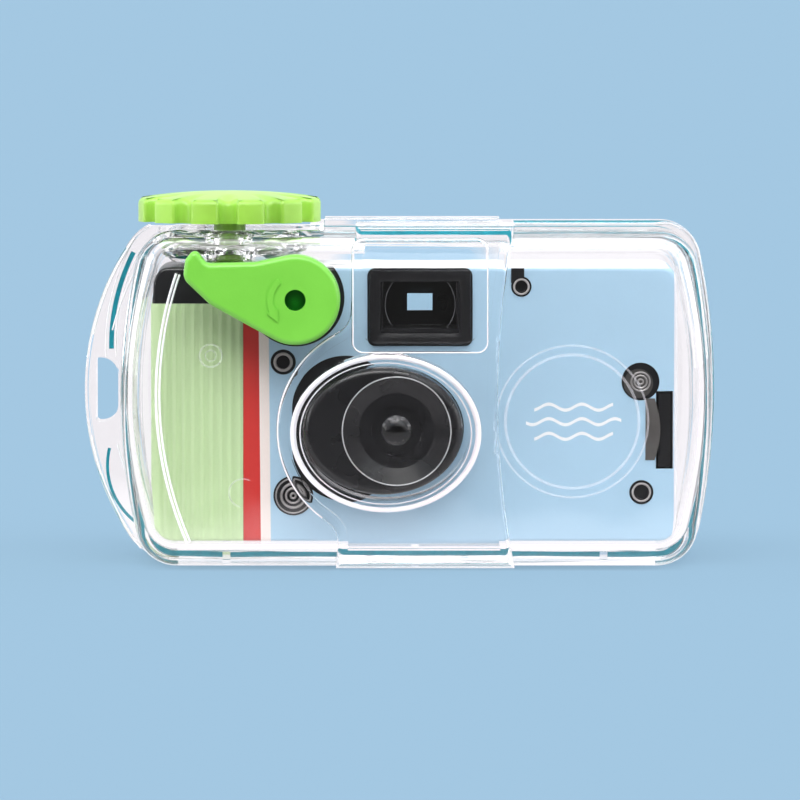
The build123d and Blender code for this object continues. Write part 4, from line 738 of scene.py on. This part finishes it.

# Painted highlights: narrow bright beads on the front shell's face and, along the wing, just
# inside its clear plastic, and a bright band at the port's flat lip, standing in for light on the moulded
# edges.
# each row gives the middle of its bend in X and Z, its front, radius, wire, start and turn
highlight_arcs = (
    (-0.0100, 0.0352, 0.0030, 0.0549, 0.00022, 145, 23),
    (-0.0100, 0.0352, 0.0030, 0.0549, 0.00022, 190, 27),
    (-0.0100, 0.0352, 0.0030, 0.0512, 0.00016, 147, 19),
    (-0.0173, 0.0443, 0.0030, 0.0417, 0.00014, 152, 31),
    (-0.0173, 0.0443, 0.0030, 0.0438, 0.00014, 152, 31),
    (-0.0100, 0.0352, 0.0030, 0.0500, 0.00014, 193, 24),
    (0.0262, 0.0354, -0.0197, 0.0761, 0.00026, 160.8, 42.7),
    (0.0262, 0.0354, -0.0197, 0.0754, 0.00022, 160.8, 42.7),
    (-0.0028, 0.0283, -0.0213, 0.0221, 0.00020, 118, 116),
    (0.0159, 0.0465, -0.0234, 0.0021, 0.00014, 270, 90),
    (-0.0074, 0.0465, -0.0234, 0.0021, 0.00014, 180, 90),
)
# straight painted highlight beads on the viewfinder's boss run from one end to the other in X and Z
boss_highlight_beads = (
    (-0.0074, 0.0444, 0.0159, 0.0444),
    (-0.0095, 0.0465, -0.0095, 0.0640),
    (0.0180, 0.0465, 0.0180, 0.0640),
)
boss_face = -0.0234
highlight_wire = 0.00014
# a bead's middle lies a little more than its wire's radius before the face that it marks
highlight_lift = 1.05
# the port's lip gets a flat band of painted highlight, with a fine painted line inside it
port_highlight_lines = ((0.967, 0.00050), (0.895, 0.00012))
port_face = -0.03049
band_flat = 0.3
# round mould marks show faintly on the front as rings of painted highlight: (X, Z, radius, wire, start,
# turn)
faint_highlight_rings = (
    (0.0354, 0.0300, 0.0137, 0.00030, 0, 360),
    (0.0354, 0.0300, 0.0156, 0.00022, 0, 360),
    (-0.0387, 0.0435, 0.0023, 0.00016, 0, 360),
    (-0.0387, 0.0435, 0.0011, 0.00012, 0, 360),
    (-0.0321, 0.0153, 0.0029, 0.00014, 60, 200),
)
mark_face = -0.0188
mark_flat = 0.2


def painted_highlight_finish(name, alpha):
    """Painted highlight: bright plastic, a touch pink or lavender along its length."""
    material, nodes = new_finish(name)
    point = nodes.place()[0]
    cloud = nodes.noise(point, 120.0)
    tint = nodes.mix(cloud.step(0.35, 0.65), (0.96, 0.90, 0.94), (0.93, 0.95, 1.0))
    shine(nodes, tint, cloud * 0.1 + 0.15, alpha=alpha)
    return material


edge_highlight = painted_highlight_finish("edge_highlight", 1.0)
mesh = bmesh.new()
for x, z, front, radius, wire, start, turn in highlight_arcs:
    first, bend = radians(start), radians(turn)
    lay_ring(mesh, x, front - wire * highlight_lift, z, radius, wire, start=first, turn=bend, steps=60)
for from_x, from_z, to_x, to_z in boss_highlight_beads:
    first = Vector((from_x, boss_face - highlight_wire * highlight_lift, from_z))
    run = Vector((to_x - from_x, 0.0, to_z - from_z))
    turned = run.to_track_quat("Z", "Y").to_matrix().to_4x4()
    bmesh.ops.create_cone(
        mesh, cap_ends=True, segments=12, radius1=highlight_wire, radius2=highlight_wire, depth=run.length,
        matrix=Matrix.Translation(first + run / 2) @ turned,
    )
highlight_lines = add_piece("highlight_lines", mesh, edge_highlight)
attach(highlight_lines, "housing")

mesh = bmesh.new()
for share, wire in port_highlight_lines:
    lay_ring(mesh, 0.0, 0.0, 0.0, port_reach[1] * share, wire, steps=96)
bmesh.ops.scale(mesh, vec=(port_reach[0] / port_reach[1], band_flat, 1.0), verts=mesh.verts[:])
port_shift = Vector((port_middle[0], port_face + port_highlight_lines[0][1] * band_flat, port_middle[1]))
bmesh.ops.translate(mesh, vec=port_shift, verts=mesh.verts[:])
port_highlights = add_piece("port_highlight_lines", mesh, painted_highlight_finish("port_lip_highlight", 0.8))
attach(port_highlights, "housing")

mesh = bmesh.new()
for x, z, radius, wire, start, turn in faint_highlight_rings:
    first, bend = radians(start), radians(turn)
    lay_ring(mesh, x, -wire * highlight_lift, z, radius, wire, start=first, turn=bend, steps=72)
bmesh.ops.scale(mesh, vec=(1.0, mark_flat, 1.0), verts=mesh.verts[:])
bmesh.ops.translate(mesh, vec=(0.0, mark_face, 0.0), verts=mesh.verts[:])
marks = add_piece("round_mark_highlights", mesh, painted_highlight_finish("faint_highlight", 0.12))
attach(marks, "housing")

# The rim gasket: one teal rubber ring that lies in the groove between the shells. The knob's and
# the lever's shafts have small black seal rings of their own.
def rubber(name, colour, rough):
    """Soft moulded rubber with a dull, slightly dusty skin."""
    material, nodes = new_finish(name)
    point = nodes.place()[0]
    dust = nodes.noise(point, 700.0)
    tint = nodes.mix(dust.step(0.35, 0.75), shade_of(colour, 0.9), shade_of(colour, 1.12))
    shine(nodes, tint, dust * 0.2 + rough, nodes.relief(dust, 0.00002))
    return material


teal_rubber = rubber("gasket_teal", (0.0, 0.33, 0.43), 0.35)
dress(teal_rubber, "rim_gasket")

# the gasket's outer lip lies in the weld line of the wing, above and below the cord eye
lip_runs = (
    (-0.0173, 0.0443, 0.0427, 0.00050, 153, 28),
    (-0.0460, 0.0192, 0.0149, 0.00032, 166, 78),
)
lip_plane = 0.0070
lip_sheet = 0.00003
mesh = bmesh.new()
for x, z, radius, half, start, turn in lip_runs:
    ends = []
    for reach in (radius - half, radius + half):
        for side in (-lip_sheet / 2, lip_sheet / 2):
            ends.append(mesh.verts.new((reach, side, 0.0)))
    section = mesh.faces.new((ends[0], ends[1], ends[3], ends[2]))
    tip = Matrix.Rotation(-radians(start), 3, "Y")
    bmesh.ops.rotate(mesh, cent=(0.0, 0.0, 0.0), matrix=tip, verts=ends)
    bmesh.ops.translate(mesh, vec=(x, lip_plane, z), verts=ends)
    bmesh.ops.spin(
        mesh, geom=[section], cent=(x, lip_plane, z), axis=(0.0, -1.0, 0.0), angle=radians(turn), steps=40,
        use_duplicate=False,
    )
gasket_lip = add_piece("gasket_lip", mesh, teal_rubber)
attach(gasket_lip, "housing")
dress(rubber("seal_black", (0.02, 0.02, 0.02), 0.5), "winding_seal", "lever_seal")

# The winding knob: a green moulded cap with twelve lobes, pressed on its shaft. The grooves between
# the lobes have round inner ends, and the upper and lower edges are softly rounded.
# painted light: the knob's green is set lighter than the lever's, though both are one plastic
knob_green_painted_lit = (0.315, 0.61, 0.073)
knob_low, knob_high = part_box("winding_knob")
knob_centre = (knob_low + knob_high) / 2
knob_radius = (knob_high.x - knob_low.x) / 2
knob_lobes = 12
groove_half = 0.00187
groove_inset = 0.0009
groove_centre = knob_radius - groove_inset
groove_corner = 0.0008
rim_height = 0.0048
edge_round = 0.0011
edge_steps = 5
dome_rise = 0.0014
dome_rings = (0.95, 0.94, 0.92, 0.88, 0.8, 0.7, 0.5)
dome_power = 2.2
# each groove runs on into a shallow valley on the dome, from this share of the radius outwards
valley_depth = 0.0008
valley_half = 0.0021
valley_start = 0.58
valley_fade = 0.22


def lobe_outline(pieces):
    """Radius and angle of the points along one groove and one lobe, starting mid-groove."""
    points = []
    for index in range(pieces + 1):
        angle = pi / 2 * index / pieces
        points.append((groove_centre - groove_half * cos(angle), groove_half * sin(angle)))
    for index in range(1, pieces + 1):
        angle = pi / 2 * index / pieces
        points.append((
            knob_radius - groove_corner + groove_corner * sin(angle),
            groove_half + groove_corner * (1 - cos(angle)),
        ))
    polar = [(distance, side / distance) for distance, side in points]
    half_pitch = pi / knob_lobes
    first = polar[-1][1]
    for index in range(1, pieces + 1):
        polar.append((knob_radius, first + (half_pitch - first) * index / pieces))
    return polar


def carve_knob():
    """A disc drawn up from its lobed outline, with rounded edges and a low dome on top."""
    right = lobe_outline(6)
    outline = right[:0:-1]
    outline = [(reach, -turn) for reach, turn in outline] + right
    outline = outline[1:]
    mesh = bmesh.new()
    ring = bmesh.ops.create_circle(
        mesh, cap_ends=True, segments=len(outline) * knob_lobes, radius=knob_radius
    )["verts"]
    ring.sort(key=lambda vert: atan2(vert.co.y, vert.co.x) % (2 * pi))
    for index, vert in enumerate(ring):
        lobe, place = divmod(index, len(outline))
        reach, turn = outline[place]
        angle = 2 * pi * lobe / knob_lobes + turn - pi / 2
        vert.co = Vector((reach * cos(angle), reach * sin(angle), knob_low.z + edge_round / 2))
    foot = mesh.faces[:]
    bmesh.ops.reverse_faces(mesh, faces=foot)
    risen = bmesh.ops.extrude_face_region(mesh, geom=foot, use_keep_orig=True)["geom"]
    crown = [part for part in risen if isinstance(part, bmesh.types.BMFace)]
    bmesh.ops.reverse_faces(mesh, faces=crown)
    bmesh.ops.translate(
        mesh, vec=(0.0, 0.0, rim_height - edge_round), verts=crown[0].verts[:]
    )
    for faces, radius in ((crown, edge_round), (foot, edge_round / 2)):
        for index in range(edge_steps):
            before = pi / 2 * index / edge_steps
            after = pi / 2 * (index + 1) / edge_steps
            bmesh.ops.inset_region(
                mesh, faces=faces, thickness=radius * (cos(before) - cos(after)),
                depth=radius * (sin(after) - sin(before)), use_even_offset=False,
            )
    for shrink in dome_rings:
        bmesh.ops.inset_region(mesh, faces=crown, thickness=0.00002)
        bmesh.ops.scale(
            mesh, vec=(shrink, shrink, 1.0), verts=list({vert for face in crown for vert in face.verts})
        )
    bmesh.ops.poke(mesh, faces=crown)
    pitch = 2 * pi / knob_lobes
    for vert in mesh.verts:
        reach = vert.co.xy.length
        share = (vert.co.z - knob_low.z) / rim_height
        turn = (atan2(vert.co.y, vert.co.x) + pi / 2) % pitch
        aside = min(1.0, min(turn, pitch - turn) * reach / valley_half)
        ramp = max(0.0, min(1.0, (reach / knob_radius - valley_start) / valley_fade))
        rise = dome_rise * (1.0 - (reach / knob_radius) ** dome_power)
        rise -= valley_depth * ramp * (0.5 + 0.5 * cos(pi * aside))
        vert.co.z += rise * max(0.0, min(1.0, share))
    bmesh.ops.translate(mesh, vec=(knob_centre.x, knob_centre.y, 0.0), verts=mesh.verts[:])
    return mesh


green_skin = moulded_plastic("knob_green_painted_lit", knob_green_painted_lit, 0.32)
knob_cap = add_piece("knob_cap", carve_knob(), green_skin)
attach(knob_cap, "knob")
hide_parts("winding_knob")
dress(green_skin, "winding_shaft")

# The shutter lever: moulded in the same green as the knob, though its colour is set darker as painted
# shade, on a short shaft through the front shell. Its pivot hole is painted dark green as shade, lighter
# at the middle as a painted highlight.
pivot = (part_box("lever_shaft")[0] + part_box("lever_shaft")[1]) / 2
pivot_hole = 0.00216


def lever_finish():
    material, nodes = new_finish("lever_green")
    point, across, depth, up = nodes.place()
    cloud = nodes.noise(point, cloud_scale)
    # painted shade: the lever's green is set darker than the knob's, though both are one plastic
    skin = nodes.mix(cloud.step(0.3, 0.7), (0.172, 0.55, 0.057), (0.190, 0.595, 0.064))
    right = across - pivot.x
    rise = up - pivot.z
    reach = (right * right + rise * rise).math("SQRT")
    # painted shade in the pivot hole: dark green towards its rim, lighter at the middle as a painted
    # highlight
    painted_hole_shade = nodes.mix(reach.step(0.0, pivot_hole), (0.012, 0.36, 0.016), (0.003, 0.16, 0.004))
    skin = nodes.mix(reach.below(pivot_hole), skin, painted_hole_shade)
    shine(nodes, skin, (cloud - 0.5) * 0.1 + 0.3, plastic_grain_of(nodes, point))
    return material


dress(lever_finish(), "shutter_lever", "lever_shaft")
